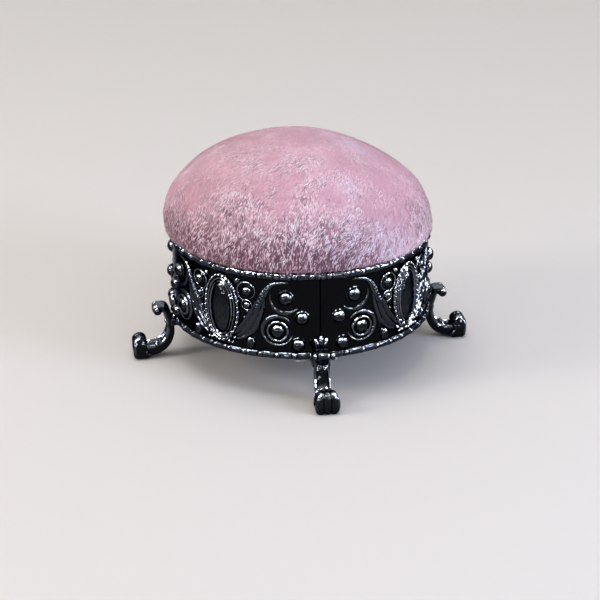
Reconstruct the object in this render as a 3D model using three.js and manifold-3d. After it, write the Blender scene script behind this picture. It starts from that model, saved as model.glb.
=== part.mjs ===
// Footed pincushion: a velvet cushion in a band of four cast panels that stands on four scroll feet.
// Millimetres, +Z up, floor at Z = 0, the origin on the floor under the middle of the band.
// The front foot points to -Y, the right foot to +X.
import * as THREE from 'three';
import { mergeVertices } from 'three/addons/utils/BufferGeometryUtils.js';
import Module from 'manifold-3d';

const wasm = await Module();
wasm.setup();

// Fits
const clearance = 0.3; // between neighbours that come close and don't touch
const sink = 0.5; // how deep raised ornament is rooted in the wall

// Band
const quarter = Math.PI / 2; // one panel and one foot to each quarter turn
const bandRadius = 35; // outside of the plain wall
const bandHeight = 24.6;
const wallThickness = 1.6;
const seamGap = 0.3;
const mouldingRadius = 1; // half-round moulding at the top and the bottom
const rimLip = 0.3; // plain strip above the top moulding
const flangeWidth = 8.9; // inward flange at the bottom
const flangeThickness = 1.6;
const beadsPerPanel = 12;
const beadNeck = 0.55; // height of the moulding between two beads, as a part of its radius
const flushMoulding = 0.02; // the same where the foot interrupts it

// Ornament
const medallionHalfWidth = 5.7;
const medallionMargin = 0.4; // between the medallion and the mouldings
const medallionFrame = 2.7; // width of the ridged frame round the cabochon
const frameHeight = 1.1;
const cabochonHeight = 1.7;
const bossHeight = 1.5;
const scrollRadius = 4.6;
const scrollWidth = 1.3;
const scrollHeight = 0.8;
const leafWidth = 3.2;
const leafHeight = 0.6;
const ringRadius = 3.2;
const ringWidth = 1;
const ringHeight = 0.7;

// Feet
const footHeight = 11.4; // floor to the underside of the band
const footReach = 11.9; // wall to the tip of the toe
const stemWidth = 4.8;
const stemThickness = 2;
const stemSpread = 1.3; // how much thicker the stem is at the toe
const knobRadius = 1.4;
const knobWidth = 5.6;
const knobReach = 4.9; // wall to the axis of the knob
const knobLift = 2.6; // underside of the band to the axis of the knob
const toeWidth = 6.6;
const toeRadius = 2;
const toeLength = 4.7;
const toeLobes = 3;
const toeBevel = 0.45;
const spurRadius = 0.9; // small roll between the stem and the toe
const leafletWidth = 5.5;
const leafletRise = 7; // underside of the band to the tip of the leaf
const leafletThickness = 1.2;
const lugThickness = 2;
const lugWidth = 13;
const lugLength = 5.4;

// Fasteners and base plate
const boltInset = 5.2; // inside of the wall to the screws
const boltSpread = 4.5; // from the middle of a foot to its screws
const shankRadius = 0.75;
const headRadius = 1.6;
const headHeight = 1;
const slotWidth = 0.5;
const slotDepth = 0.4;
const plateThickness = 2;
const cushionShankRadius = 1.2;
const cushionHeadRadius = 2.8;
const cushionHeadHeight = 1.5;
const washerRadius = 4;
const washerThickness = 0.5;

// Cushion
const boardMargin = 4.1; // how much smaller the board is than the base plate
const boardThickness = 3;
const coverThickness = 0.8;
const gatherRadius = 11; // opening that the cover is gathered to, under the board
const threadRadius = 0.35;
const cushionCorner = 1.5; // rounding at the cushion's lower edge
const overhang = 1.8; // how far the cushion swells past the wall of the band
const rollHeight = 4.9; // rim to the widest part of the cushion
const crownHeight = 20.2; // widest part to the top
const crownPower = 1.56; // 2 is a round dome, lower is more pointed
const crownLean = { x: -2, y: 2 }; // how far the top leans
const swellLean = { x: -0.65, y: 0 }; // how far the widest part sits to the side

// Heights and radii that follow
const wallInside = bandRadius - wallThickness;
const bandTop = footHeight + bandHeight;
const fieldBottom = footHeight + 2 * mouldingRadius;
const fieldTop = bandTop - rimLip - 2 * mouldingRadius;
const halfField = (bandRadius * quarter) / 2; // from a panel's middle to its seam, along the wall
const flangeTop = footHeight + flangeThickness;
const plateTop = flangeTop + plateThickness;
const plateRadius = wallInside - clearance;
const boltCircle = wallInside - boltInset;
const boardRadius = plateRadius - boardMargin;
const tappedRadius = shankRadius + clearance;
const boardHole = cushionShankRadius + clearance;
const cushionBottom = plateTop + clearance;
const boardBottom = cushionBottom + coverThickness + clearance;
const boardTop = boardBottom + boardThickness;
const swellHeight = bandTop + rollHeight;
const swellRadius = bandRadius + overhang;

// Facets
const holeSides = 8;
const screwSides = 9;
const bossSides = { large: 8, small: 6 };
const cushionSegments = 28;
const crownSteps = 9;
const liningSteps = 6; // coarser steps for the hidden faces

// Geometry helpers

/** Copy of a geometry with only positions, shared corners merged and its faces turned outward. */
function closed(geometry) {
  const bare = geometry.clone();
  bare.deleteAttribute('normal');
  bare.deleteAttribute('uv');
  const merged = mergeVertices(bare, 1e-4);
  const kept = [];
  for (let i = 0; i < merged.index.count; i += 3) {
    const [a, b, c] = [0, 1, 2].map((k) => merged.index.getX(i + k));
    if (a !== b && b !== c && c !== a) kept.push([a, b, c]);
  }
  const corner = (i) => new THREE.Vector3().fromBufferAttribute(merged.getAttribute('position'), i);
  const volume = kept.reduce((sum, [a, b, c]) => sum + corner(a).dot(corner(b).cross(corner(c))), 0);
  merged.setIndex(kept.flatMap(([a, b, c]) => (volume > 0 ? [a, b, c] : [a, c, b])));
  return merged;
}

function toSolid(geometry) {
  const mesh = closed(geometry);
  const vertProperties = new Float32Array(mesh.getAttribute('position').array);
  const triVerts = new Uint32Array(mesh.index.array);
  return new wasm.Manifold(new wasm.Mesh({ numProp: 3, vertProperties, triVerts }));
}

function toGeometry(solid) {
  const mesh = solid.getMesh();
  const geometry = new THREE.BufferGeometry();
  geometry.setAttribute('position', new THREE.BufferAttribute(new Float32Array(mesh.vertProperties), 3));
  geometry.setIndex(new THREE.BufferAttribute(new Uint32Array(mesh.triVerts), 1));
  return geometry;
}

/** One body from overlapping geometries, less the geometries in cuts. */
function join(geometries, cuts = []) {
  const whole = geometries.map(toSolid).reduce((sum, solid) => sum.add(solid));
  return toGeometry(cuts.map(toSolid).reduce((rest, solid) => rest.subtract(solid), whole));
}

/** Skin over a row of rings with equal point counts. Without caps the last ring meets the first. */
function loft(rings, caps = null) {
  const size = rings[0].length;
  const index = [];
  const spans = caps ? rings.length - 1 : rings.length;
  for (let i = 0; i < spans; i += 1) {
    const here = i * size;
    const next = ((i + 1) % rings.length) * size;
    for (let k = 0; k < size; k += 1) {
      const m = (k + 1) % size;
      index.push(here + k, here + m, next + m, here + k, next + m, next + k);
    }
  }
  const last = (rings.length - 1) * size;
  for (const [a, b, c] of caps ?? []) index.push(a, c, b, last + a, last + b, last + c);
  const geometry = new THREE.BufferGeometry().setFromPoints(rings.flat());
  geometry.setIndex(index);
  return geometry;
}

function fan(count) {
  return Array.from({ length: count - 2 }, (_, i) => [0, i + 1, i + 2]);
}

function circlePoints(x, y, radius, count) {
  const turn = (i) => (2 * Math.PI * i) / count;
  return Array.from(
    { length: count },
    (_, i) => new THREE.Vector2(x + radius * Math.cos(turn(i)), y + radius * Math.sin(turn(i))),
  );
}

/** Flat plate from an outline and round holes, its underside at height z. */
function plate(outline, holes, z, thickness) {
  const shape = new THREE.Shape(outline);
  shape.holes = holes.map(({ x, y, radius }) => new THREE.Path(circlePoints(x, y, radius, holeSides)));
  return new THREE.ExtrudeGeometry(shape, { depth: thickness, bevelEnabled: false }).translate(0, 0, z);
}

/** Round body about Z from [radius, height] pairs. */
function turned(profile, segments) {
  const points = profile.map(([radius, height]) => new THREE.Vector2(radius, height));
  return new THREE.LatheGeometry(points, segments).rotateX(Math.PI / 2);
}

/** Bends flat work onto the wall: x runs along the wall, y is height, z is relief. Faces +X. */
function wrap(geometry) {
  const at = geometry.getAttribute('position');
  for (let i = 0; i < at.count; i += 1) {
    const angle = at.getX(i) / bandRadius;
    const radius = bandRadius + at.getZ(i);
    at.setXYZ(i, radius * Math.cos(angle), radius * Math.sin(angle), at.getY(i));
  }
  return geometry;
}

// Band panels

const seamAngle = seamGap / 2 / bandRadius;
const notchAngle = (stemWidth / 2 + clearance) / bandRadius;
const beadPitch = quarter / beadsPerPanel;

function beadProfile(fromSeam) {
  return beadNeck + (1 - beadNeck) * Math.abs(Math.sin((Math.PI * fromSeam) / beadPitch));
}

/** Section through the wall, mouldings and flange, [radius, height] pairs from the flange's edge. */
function bandSection(fromSeam) {
  const top = beadProfile(fromSeam);
  const bottom = fromSeam <= notchAngle + 1e-9 ? flushMoulding : top;
  const halfRound = (base, proud) =>
    [-90, -30, 30, 90].map((degrees) => {
      const turn = THREE.MathUtils.degToRad(degrees);
      const out = proud * mouldingRadius * Math.cos(turn);
      return [bandRadius + out, base + mouldingRadius * (1 + Math.sin(turn))];
    });
  return [
    [wallInside - flangeWidth, footHeight],
    ...halfRound(footHeight, bottom),
    ...halfRound(fieldTop, top),
    [bandRadius - rimLip, bandTop],
    [wallInside, bandTop],
    [wallInside, flangeTop],
    [wallInside - flangeWidth, flangeTop],
  ];
}

function wallGeometry() {
  const half = [seamAngle, notchAngle, notchAngle + seamAngle];
  for (let i = 1; i <= beadsPerPanel; i += 1) half.push((i * beadPitch) / 2);
  half.sort((a, b) => a - b);
  const fromSeam = [...half, ...half.slice(0, -1).reverse()];
  const angles = fromSeam.map((a, i) => (i < half.length ? a - quarter / 2 : quarter / 2 - a));
  const rings = angles.map((angle, i) =>
    bandSection(fromSeam[i]).map(
      ([radius, z]) => new THREE.Vector3(radius * Math.cos(angle), radius * Math.sin(angle), z),
    ),
  );
  const outline = bandSection(seamAngle).map(([radius, z]) => new THREE.Vector2(radius, z));
  return loft(rings, THREE.ShapeUtils.triangulateShape(outline, []));
}

/** Raised strip along flat points; width and height are functions of the way along, 0 to 1. */
function ridge(points, width, height) {
  const rings = points.map((point, i) => {
    const before = points[Math.max(i - 1, 0)];
    const after = points[Math.min(i + 1, points.length - 1)];
    const along = after.clone().sub(before).normalize();
    const way = i / (points.length - 1);
    const section = [
      [-1, -sink],
      [-0.5, height(way)],
      [0.5, height(way)],
      [1, -sink],
    ];
    return section.map(([side, z]) => {
      const offset = (side * width(way)) / 2;
      return new THREE.Vector3(point.x - along.y * offset, point.y + along.x * offset, z);
    });
  });
  return loft(rings, fan(4));
}

function boss(x, y, radius, height) {
  const profile = [
    [0, -sink],
    [1.05 * radius, -sink],
    [0.8 * radius, 0.68 * height],
    [0, height],
  ];
  return turned(profile, radius > 1 ? bossSides.large : bossSides.small).translate(x, y, 0);
}

// Places on the ornament's field: across is 0 at the panel's middle and 1 at its seam,
// up is 0 at the lower moulding and 1 at the upper one
const bosses = [
  { across: 0.67, up: 0.79, radius: 1.9 }, // in the scroll
  { across: 0.826, up: 0.49, radius: 1.7 },
  { across: 0.786, up: 0.125, radius: 1.7 },
  { across: 0.602, up: 0.32, radius: 2.2 }, // in the ring
  { across: 0.291, up: 0.81, radius: 1.5 },
  { across: 0.293, up: 0.6, radius: 0.9 },
  { across: 0.32, up: 0.12, radius: 1.5 },
];
const scrollPlace = bosses[0];
const ringPlace = bosses[3];
const leafRoute = [
  [0.445, 0.96],
  [0.42, 0.72],
  [0.38, 0.51],
  [0.29, 0.3],
  [0.2, 0.17],
];

function fieldPoint(side, across, up) {
  return new THREE.Vector2(side * across * halfField, fieldBottom + up * (fieldTop - fieldBottom));
}

function arcPoints(centre, radius, from, to, side, count) {
  return Array.from({ length: count + 1 }, (_, i) => {
    const turn = THREE.MathUtils.degToRad(from + ((to - from) * i) / count);
    return new THREE.Vector2(centre.x + side * radius * Math.cos(turn), centre.y + radius * Math.sin(turn));
  });
}

const swelling = (way) => 0.3 + 0.7 * Math.sin(Math.PI * way);

/** Ornament on one side of the medallion; side is +1 or -1. */
function sideOrnament(side) {
  const parts = bosses.map(({ across, up, radius }) => {
    const at = fieldPoint(side, across, up);
    return boss(at.x, at.y, radius, (bossHeight * radius) / bosses[0].radius);
  });
  const scrollCentre = fieldPoint(side, scrollPlace.across, scrollPlace.up);
  const scroll = arcPoints(scrollCentre, scrollRadius, 110, 290, side, 7);
  parts.push(ridge(scroll, (way) => scrollWidth * swelling(way), () => scrollHeight));
  const ringCentre = fieldPoint(side, ringPlace.across, ringPlace.up);
  const ring = arcPoints(ringCentre, ringRadius + ringWidth / 2, 70, 300, side, 7);
  parts.push(ridge(ring, (way) => ringWidth * swelling(way), () => ringHeight));
  const curve = new THREE.SplineCurve(leafRoute.map(([across, up]) => fieldPoint(side, across, up)));
  parts.push(ridge(curve.getPoints(6), (way) => leafWidth * swelling(way), () => leafHeight));
  return parts;
}

/** Oval medallion: a frame with two ridges round a smooth cabochon. */
function medallion() {
  const halfHeight = (fieldTop - fieldBottom) / 2 - medallionMargin;
  const middle = (fieldTop + fieldBottom) / 2;
  const section = [
    [0, -sink],
    [0.25, frameHeight],
    [0.52, 0.4 * frameHeight],
    [0.78, 0.9 * frameHeight],
    [1.05, -sink],
  ];
  const count = 18;
  const rings = Array.from({ length: count }, (_, i) => {
    const turn = (2 * Math.PI * i) / count;
    return section.map(([inward, z]) => {
      const x = (medallionHalfWidth - inward * medallionFrame) * Math.cos(turn);
      const y = (halfHeight - inward * medallionFrame) * Math.sin(turn);
      return new THREE.Vector3(x, middle + y, z);
    });
  });
  const profile = [
    [0, -sink],
    [1, -sink],
    [0.7, 0.8 * cabochonHeight],
    [0, cabochonHeight],
  ];
  const cabochon = turned(profile, 12);
  cabochon.scale(medallionHalfWidth - 0.9 * medallionFrame, halfHeight - 0.9 * medallionFrame, 1);
  return [loft(rings), cabochon.translate(0, middle, 0)];
}

function screwHole(x, y, bottom, top) {
  const hole = new THREE.CylinderGeometry(tappedRadius, tappedRadius, top - bottom + 2, holeSides);
  return hole.rotateX(Math.PI / 2).translate(x, y, (top + bottom) / 2);
}

function panelGeometry() {
  const relief = [...medallion(), ...sideOrnament(1), ...sideOrnament(-1)].map(wrap);
  const holes = [-1, 1].map((side) =>
    screwHole(boltCircle, -side * boltSpread, footHeight, flangeTop).rotateZ((side * quarter) / 2),
  );
  return join([wallGeometry(), ...relief], holes);
}

// Feet: made facing +X

/** Block from a [radius, height] outline, centred on the foot's middle plane. */
function upright(outline, width, options = {}) {
  const shape = new THREE.Shape(outline.map(([radius, z]) => new THREE.Vector2(radius, z)));
  const geometry = new THREE.ExtrudeGeometry(shape, { depth: width, bevelEnabled: false, ...options });
  return geometry.rotateX(Math.PI / 2).translate(0, width / 2, 0);
}

/** Roll lying across the foot, fuller in its middle. */
function roll(radius, width, x, z, sides) {
  const profile = [
    [0, -width / 2],
    [0.75 * radius, -width / 2],
    [radius, -0.32 * width],
    [radius, 0.32 * width],
    [0.75 * radius, width / 2],
    [0, width / 2],
  ];
  return turned(profile, sides).rotateX(Math.PI / 2).translate(x, 0, z);
}

const stemBack = bandRadius + clearance;
const stemAxis = stemBack + stemThickness / 2;
const knobAxis = { x: bandRadius + knobReach, z: footHeight + knobLift };
const toeTip = bandRadius + footReach;
const toeAxis = { x: toeTip - toeRadius, z: 2.25 * toeRadius };

/** The C of the foot: from the knob over and down to the floor and out to the toe. */
function stem() {
  const bow = toeAxis.x - stemAxis;
  const route = [
    [knobAxis.x, knobAxis.z + 0.2 * knobRadius],
    [stemAxis + 0.45 * (knobAxis.x - stemAxis), knobAxis.z + 0.2 * knobRadius],
    [stemAxis + 0.08 * bow, footHeight + 0.3 * knobLift],
    [stemAxis, 0.83 * footHeight],
    [stemAxis + 0.04 * bow, 0.57 * footHeight],
    [stemAxis + 0.19 * bow, 0.36 * footHeight],
    [stemAxis + 0.45 * bow, 0.23 * footHeight],
    [stemAxis + 0.8 * bow, 0.19 * footHeight],
  ];
  const curve = new THREE.SplineCurve(route.map(([x, z]) => new THREE.Vector2(x, z)));
  const count = 12;
  const rings = curve.getPoints(count).map((point, i) => {
    const along = curve.getTangent(i / count);
    const half = (stemThickness + stemSpread * (i / count) ** 2) / 2;
    const section = [
      [-half, -1],
      [-half, 1],
      [half, 1],
      [0.7 * half, 0],
      [half, -1],
    ];
    return section.map(([offset, side]) => {
      const x = point.x - along.y * offset;
      const z = point.y + along.x * offset;
      return new THREE.Vector3(Math.max(x, stemBack), (side * stemWidth) / 2, z);
    });
  });
  return loft(rings, [[0, 1, 3], [1, 2, 3], [0, 3, 4]]);
}

function toeLobe(offset) {
  const heel = toeTip - toeLength;
  const rise = [0, 45, 90, 135].map((degrees) => {
    const turn = THREE.MathUtils.degToRad(degrees);
    return [toeAxis.x + toeRadius * Math.cos(turn), toeAxis.z + toeRadius * Math.sin(turn)];
  });
  const outline = [[heel, 0], [toeTip - 0.4 * toeRadius, 0], [toeTip, 0.5 * toeRadius], ...rise];
  outline.push([heel - 0.2 * toeRadius, 1.9 * toeRadius], [heel - 0.5 * toeRadius, 0.5 * toeRadius]);
  const width = toeWidth / toeLobes + 0.2 * toeBevel - 2 * toeBevel;
  const bevel = { bevelEnabled: true, bevelThickness: toeBevel, bevelSize: toeBevel };
  return upright(outline, width, { ...bevel, bevelOffset: -toeBevel, bevelSegments: 1 }).translate(0, offset, 0);
}

/** Small three-lobed leaf that stands against the wall above the knob. */
function leaflet() {
  const half = leafletWidth / 2;
  const base = footHeight + 0.5 * knobLift;
  const tip = footHeight + leafletRise;
  const outline = [
    [-0.6 * half, base],
    [-half, tip - 0.55 * half],
    [-0.8 * half, tip - 0.3 * half],
    [-0.42 * half, tip - 0.42 * half],
    [-0.3 * half, tip - 0.1 * half],
    [0, tip],
  ];
  const mirrored = outline.slice(0, -1).reverse().map(([y, z]) => [-y, z]);
  const shape = new THREE.Shape([...outline, ...mirrored].map(([y, z]) => new THREE.Vector2(y, z)));
  const geometry = new THREE.ExtrudeGeometry(shape, { depth: leafletThickness, bevelEnabled: false });
  return geometry.rotateX(Math.PI / 2).rotateZ(Math.PI / 2).translate(stemBack, 0, 0);
}

/** Lug that carries two neighbouring panels and takes the screws. */
function lug() {
  const inner = boltCircle - lugLength / 2;
  const outer = boltCircle + lugLength / 2;
  const side = [
    [inner, lugWidth / 2],
    [outer, lugWidth / 2],
    [outer, stemWidth / 2],
    [stemAxis, stemWidth / 2],
  ];
  const outline = [...side, ...side.map(([x, y]) => [x, -y]).reverse()];
  const holes = [-1, 1].map((end) => ({ x: boltCircle, y: end * boltSpread, radius: tappedRadius }));
  const points = outline.map(([x, y]) => new THREE.Vector2(x, y));
  return plate(points, holes, footHeight - lugThickness, lugThickness);
}

function footGeometry() {
  const pitch = toeWidth / toeLobes;
  const lobes = Array.from({ length: toeLobes }, (_, i) => toeLobe((i - (toeLobes - 1) / 2) * pitch));
  const knob = roll(knobRadius, knobWidth, knobAxis.x, knobAxis.z, 9);
  const spurX = toeTip - toeLength - 1.2 * toeRadius;
  const spur = roll(spurRadius, stemWidth, spurX, 0.38 * footHeight, 6);
  return join([stem(), ...lobes, knob, spur, leaflet(), lug()]);
}

// Fasteners, made upright at the origin of their own axis

/** Slotted screw that goes in from below; the head's bearing face is at height seat. */
function screwGeometry(shank, head, headDepth, seat, tip) {
  const profile = [
    [0, seat - headDepth],
    [0.8 * head, seat - headDepth],
    [head, seat - 0.6 * headDepth],
    [head, seat],
    [shank, seat],
    [shank, tip - shank / 2],
    [0.5 * shank, tip],
    [0, tip],
  ];
  const slot = new THREE.BoxGeometry(4 * head, slotWidth, 2 * slotDepth).translate(0, 0, seat - headDepth);
  return join([turned(profile, screwSides)], [slot]);
}

function basePlateGeometry() {
  const holes = [{ x: 0, y: 0, radius: boardHole }];
  for (let foot = 0; foot < 4; foot += 1) {
    for (const end of [-1, 1]) {
      const at = new THREE.Vector2(boltCircle, end * boltSpread);
      at.rotateAround(new THREE.Vector2(), foot * quarter);
      holes.push({ x: at.x, y: at.y, radius: tappedRadius });
    }
  }
  return plate(circlePoints(0, 0, plateRadius, 36), holes, flangeTop, plateThickness);
}

function washerGeometry() {
  const inner = cushionShankRadius + clearance;
  const bottom = flangeTop - washerThickness;
  const profile = [
    [inner, bottom],
    [washerRadius, bottom],
    [washerRadius, flangeTop],
    [inner, flangeTop],
    [inner, bottom],
  ];
  return turned(profile, 16);
}

// Cushion

/** Crown of the cushion as [radius, height] pairs from its widest part to the top, set in by inset. */
function crown(inset, count) {
  return Array.from({ length: count + 1 }, (_, i) => {
    const turn = (i * Math.PI) / 2 / count;
    const radius = i < count ? (swellRadius - inset) * Math.cos(turn) : 0;
    const rise = Math.sin(turn) ** (2 / crownPower);
    return [radius, swellHeight + (crownHeight - inset) * rise];
  });
}

/** Side of the cushion from inside the band, over the rim, up to its widest part. */
function side(inset) {
  const throat = wallInside - clearance - inset;
  const over = swellRadius - throat - inset;
  const start = bandTop + clearance + inset;
  const rest = swellHeight - start;
  return [
    [throat, start],
    [throat + 0.4 * over, start + 0.04 * rest],
    [throat + 0.78 * over, start + 0.2 * rest],
    [throat + 0.95 * over, start + 0.5 * rest],
  ];
}

/** Leans the part of the cushion that stands above the rim. */
function lean(geometry) {
  const at = geometry.getAttribute('position');
  for (let i = 0; i < at.count; i += 1) {
    const z = at.getZ(i);
    const swell = THREE.MathUtils.smoothstep(z, bandTop + clearance, swellHeight);
    const rise = Math.max(0, (z - swellHeight) / crownHeight) ** 1.5;
    const x = swellLean.x * swell + crownLean.x * rise;
    const y = swellLean.y * swell + crownLean.y * rise;
    at.setXYZ(i, at.getX(i) + x, at.getY(i) + y, z);
  }
  return geometry;
}

function coverGeometry() {
  const throat = wallInside - clearance;
  const outer = [
    [gatherRadius, cushionBottom],
    [throat - cushionCorner, cushionBottom],
    [throat, cushionBottom + cushionCorner],
    ...side(0),
    ...crown(0, crownSteps),
  ];
  const floor = cushionBottom + coverThickness;
  const inner = [
    [gatherRadius, floor],
    [throat - cushionCorner, floor],
    [throat - coverThickness, cushionBottom + cushionCorner + 0.2 * coverThickness],
    ...side(coverThickness),
    ...crown(coverThickness, liningSteps),
  ];
  return lean(turned([...inner.reverse(), ...outer], cushionSegments));
}

function stuffingGeometry() {
  const inset = coverThickness + clearance;
  const bottom = boardTop + clearance;
  const throat = wallInside - clearance - inset;
  const profile = [[0, bottom], [throat, bottom], ...side(inset), ...crown(inset, liningSteps)];
  return lean(turned(profile, cushionSegments));
}

function threadGeometry() {
  const middle = cushionBottom + coverThickness / 2;
  const ring = circlePoints(gatherRadius - clearance - threadRadius, middle, threadRadius, 6);
  return turned([...ring, ring[0]].map((point) => [point.x, point.y]), 20);
}

// Assembly

const chrome = { color: 0xb9bac0, metalness: 1, roughness: 0.14 };
const steel = { color: 0x8f9194, metalness: 1, roughness: 0.4 };
const velvet = { color: 0xc9a09c, metalness: 0, roughness: 0.95 };
const board = { color: 0xa98a63, metalness: 0, roughness: 0.85 };
const wadding = { color: 0xe6dfd2, metalness: 0, roughness: 1 };
const thread = { color: 0xb88884, metalness: 0, roughness: 0.9 };

const pincushion = new THREE.Group();

function add(name, geometry, finish, turn = 0) {
  const mesh = new THREE.Mesh(closed(geometry), new THREE.MeshStandardMaterial(finish));
  mesh.name = name;
  mesh.rotation.z = turn;
  pincushion.add(mesh);
  return mesh;
}

const panel = panelGeometry();
const panelNames = ['back_right', 'back_left', 'front_left', 'front_right'];
panelNames.forEach((place, i) => add(`band_panel_${place}`, panel, chrome, (i + 0.5) * quarter));

const foot = footGeometry();
const footScrew = screwGeometry(
  shankRadius,
  headRadius,
  headHeight,
  footHeight - lugThickness,
  plateTop - clearance,
);
['right', 'back', 'left', 'front'].forEach((place, i) => {
  add(`foot_${place}`, foot, chrome, i * quarter);
  for (const [mark, end] of [['a', -1], ['b', 1]]) {
    const mesh = add(`foot_screw_${place}_${mark}`, footScrew, steel);
    const at = new THREE.Vector2(boltCircle, end * boltSpread).rotateAround(new THREE.Vector2(), i * quarter);
    mesh.position.set(at.x, at.y, 0);
  }
});

add('base_plate', basePlateGeometry(), steel);
add('cushion_washer', washerGeometry(), steel);
add(
  'cushion_screw',
  screwGeometry(
    cushionShankRadius,
    cushionHeadRadius,
    cushionHeadHeight,
    flangeTop - washerThickness,
    boardTop - clearance,
  ),
  steel,
);
const boardHoles = [{ x: 0, y: 0, radius: boardHole }];
add('cushion_board', plate(circlePoints(0, 0, boardRadius, 32), boardHoles, boardBottom, boardThickness), board);
add('gathering_thread', threadGeometry(), thread);
add('cushion_stuffing', stuffingGeometry(), wadding);
add('velvet_cover', coverGeometry(), velvet);

export default pincushion;
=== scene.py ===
"""Footed pincushion: crushed velvet in a plated, cast band of four panels on four scroll feet.

The CAD model is loaded as a fixed frame and every piece is made round it, in metres. Shapes are worked
out in millimetres and turned to metres where a mesh is written.
"""

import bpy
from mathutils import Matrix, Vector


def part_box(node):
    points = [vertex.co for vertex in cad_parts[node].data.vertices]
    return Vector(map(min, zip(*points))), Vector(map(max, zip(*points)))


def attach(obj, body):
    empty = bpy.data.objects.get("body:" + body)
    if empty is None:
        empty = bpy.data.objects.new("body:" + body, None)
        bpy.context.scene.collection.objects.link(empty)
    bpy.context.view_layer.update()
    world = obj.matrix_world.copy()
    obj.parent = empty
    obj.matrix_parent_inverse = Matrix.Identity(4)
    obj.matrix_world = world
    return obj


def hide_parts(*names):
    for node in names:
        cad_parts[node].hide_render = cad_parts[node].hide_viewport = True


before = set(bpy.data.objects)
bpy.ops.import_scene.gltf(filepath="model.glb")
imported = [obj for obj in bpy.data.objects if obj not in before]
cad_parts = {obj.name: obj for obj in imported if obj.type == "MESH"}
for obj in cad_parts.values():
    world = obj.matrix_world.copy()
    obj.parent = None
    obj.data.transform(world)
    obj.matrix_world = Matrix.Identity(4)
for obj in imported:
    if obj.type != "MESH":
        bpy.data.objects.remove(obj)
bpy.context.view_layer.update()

import math
from types import SimpleNamespace

import bmesh
import bpy
import numpy as np
from mathutils import Matrix, Vector, noise

bl_info = {
    "name": "Footed Pincushion",
    "version": (1, 0, 0),
    "blender": (4, 5, 0),
    "location": "3D View > Sidebar > Pincushion",
    "description": "Velvet pincushion in a plated, cast band on scroll feet",
    "category": "Object",
}

MM = 0.001
QUARTER = math.pi / 2
BODY = "root"
CORNERS = ("back_right", "back_left", "front_left", "front_right")
SIDES = ("right", "back", "left", "front")
# Millimetres: the room round a piece that goes inside the band, how deep relief is rooted in the wall,
# and the thickness of the base plate and of a foot's lug
ROOM = 0.3
ROOT = -0.5
PLATE = 2.0
# Foot screws: how far in from the inside of the wall, how far to either side, and their tapped radius
SCREW_IN, SCREW_ASIDE, TAPPED = 5.2, 4.5, 1.05


def linear(hex_colour):
    """An sRGB hex colour as linear red, green, blue and a full alpha."""
    values = [int(hex_colour[i : i + 2], 16) / 255 for i in (1, 3, 5)]
    return (*(v / 12.92 if v <= 0.04045 else ((v + 0.055) / 1.055) ** 2.4 for v in values), 1.0)


def length(name, text, size_mm):
    """A length property whose default is given in millimetres."""
    return bpy.props.FloatProperty(name=name, description=text, default=size_mm * MM, unit="LENGTH", precision=5)


def angle(name, text, degrees):
    return bpy.props.FloatProperty(name=name, description=text, default=math.radians(degrees), subtype="ANGLE")


def colour(name, text, hex_colour):
    return bpy.props.FloatVectorProperty(
        name=name, description=text, subtype="COLOR", size=4, min=0, max=1, default=linear(hex_colour)
    )


# Settings


class BandSettings(bpy.types.PropertyGroup):
    """Sizes of the band, the same as in the CAD model."""

    wall_radius: length("Wall radius", "Outside of the plain wall", 35)
    wall_thickness: length("Wall thickness", "Thickness of the cast wall", 1.6)
    height: length("Height", "Band from its underside to the rim", 24.6)
    foot_height: length("Foot height", "Floor to the underside of the band", 11.4)
    moulding: length("Moulding", "Radius of the half-round mouldings", 1)
    seam_gap: length("Seam gap", "Gap between two panels", 0.3)
    flange_width: length("Flange width", "Inward flange at the bottom", 8.9)
    flange_thickness: length("Flange thickness", "Thickness of the flange", 1.6)
    bead_count: bpy.props.IntProperty(name="Beads", description="Beads in one panel's moulding", default=12)


class FootSettings(bpy.types.PropertyGroup):
    """Sizes of a scroll foot, the same as in the CAD model."""

    reach: length("Reach", "Wall to the tip of the toe", 11.9)
    stem_width: length("Stem width", "Width of the scroll", 4.8)
    stem_thickness: length("Stem thickness", "Thickness of the scroll at its top", 2)
    knob_radius: length("Knob radius", "Radius of the upper roll", 1.4)
    toe_width: length("Toe width", "Width across the lobes of the toe", 6.6)
    toe_radius: length("Toe radius", "Radius of the toe's roll", 2)


class CushionSettings(bpy.types.PropertyGroup):
    """Sizes of the cushion, close to those of the CAD model."""

    swell: length("Swell", "Radius of the cushion's widest part", 36.7)
    roll: length("Roll", "Rim to the cushion's widest part", 4.6)
    crown: length("Crown", "Widest part to the top", 20)
    cover: length("Cover", "Thickness of the velvet", 0.8)
    pile: length("Pile", "Length of a tuft of the crushed pile", 1.15)
    tufts: bpy.props.IntProperty(name="Tufts", description="Tufts of pile over the crown", default=48000)


class FinishSettings(bpy.types.PropertyGroup):
    """Colours of the finishes."""

    # Plating and ground are darkened to paint a dark reflection: ground on the plain wall and in the ground of the
    # relief, the lighter plating on what stands out. Edges is a painted highlight.
    plating: colour("Plating", "Plating on raised ornament", "#4B5059")
    edges: colour("Edges", "Plating on edges and small beads", "#A0A6B2")
    ground: colour("Ground", "Darkened plating in the ground of the ornament", "#121316")
    velvet_light: colour("Velvet, light", "Pile that lies towards the light", "#FBEDF7")
    velvet_mid: colour("Velvet, mid", "Pile that stands", "#E9B9CA")
    velvet_pressed: colour("Velvet, pressed", "Ground where the pile was pressed flat", "#D9A4B6")
    # Painted cool light, laid on the pile in patches
    velvet_frosted: colour("Velvet, frosted", "Cool cast of pile that lies over", "#EBF3FB")
    velvet_deep: colour("Velvet, deep", "Pile seen into its depth", "#6F4B5E")
    steel: colour("Steel", "Zinc-plated screws and plate", "#A3A6A9")
    board: colour("Board", "Birch plywood", "#C9A97B")
    thread: colour("Thread", "Cotton thread", "#B98389")
    wadding: colour("Wadding", "Wool wadding", "#E9E2D6")
    floor: colour("Floor", "Matt painted board", "#E6E4E2")


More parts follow.
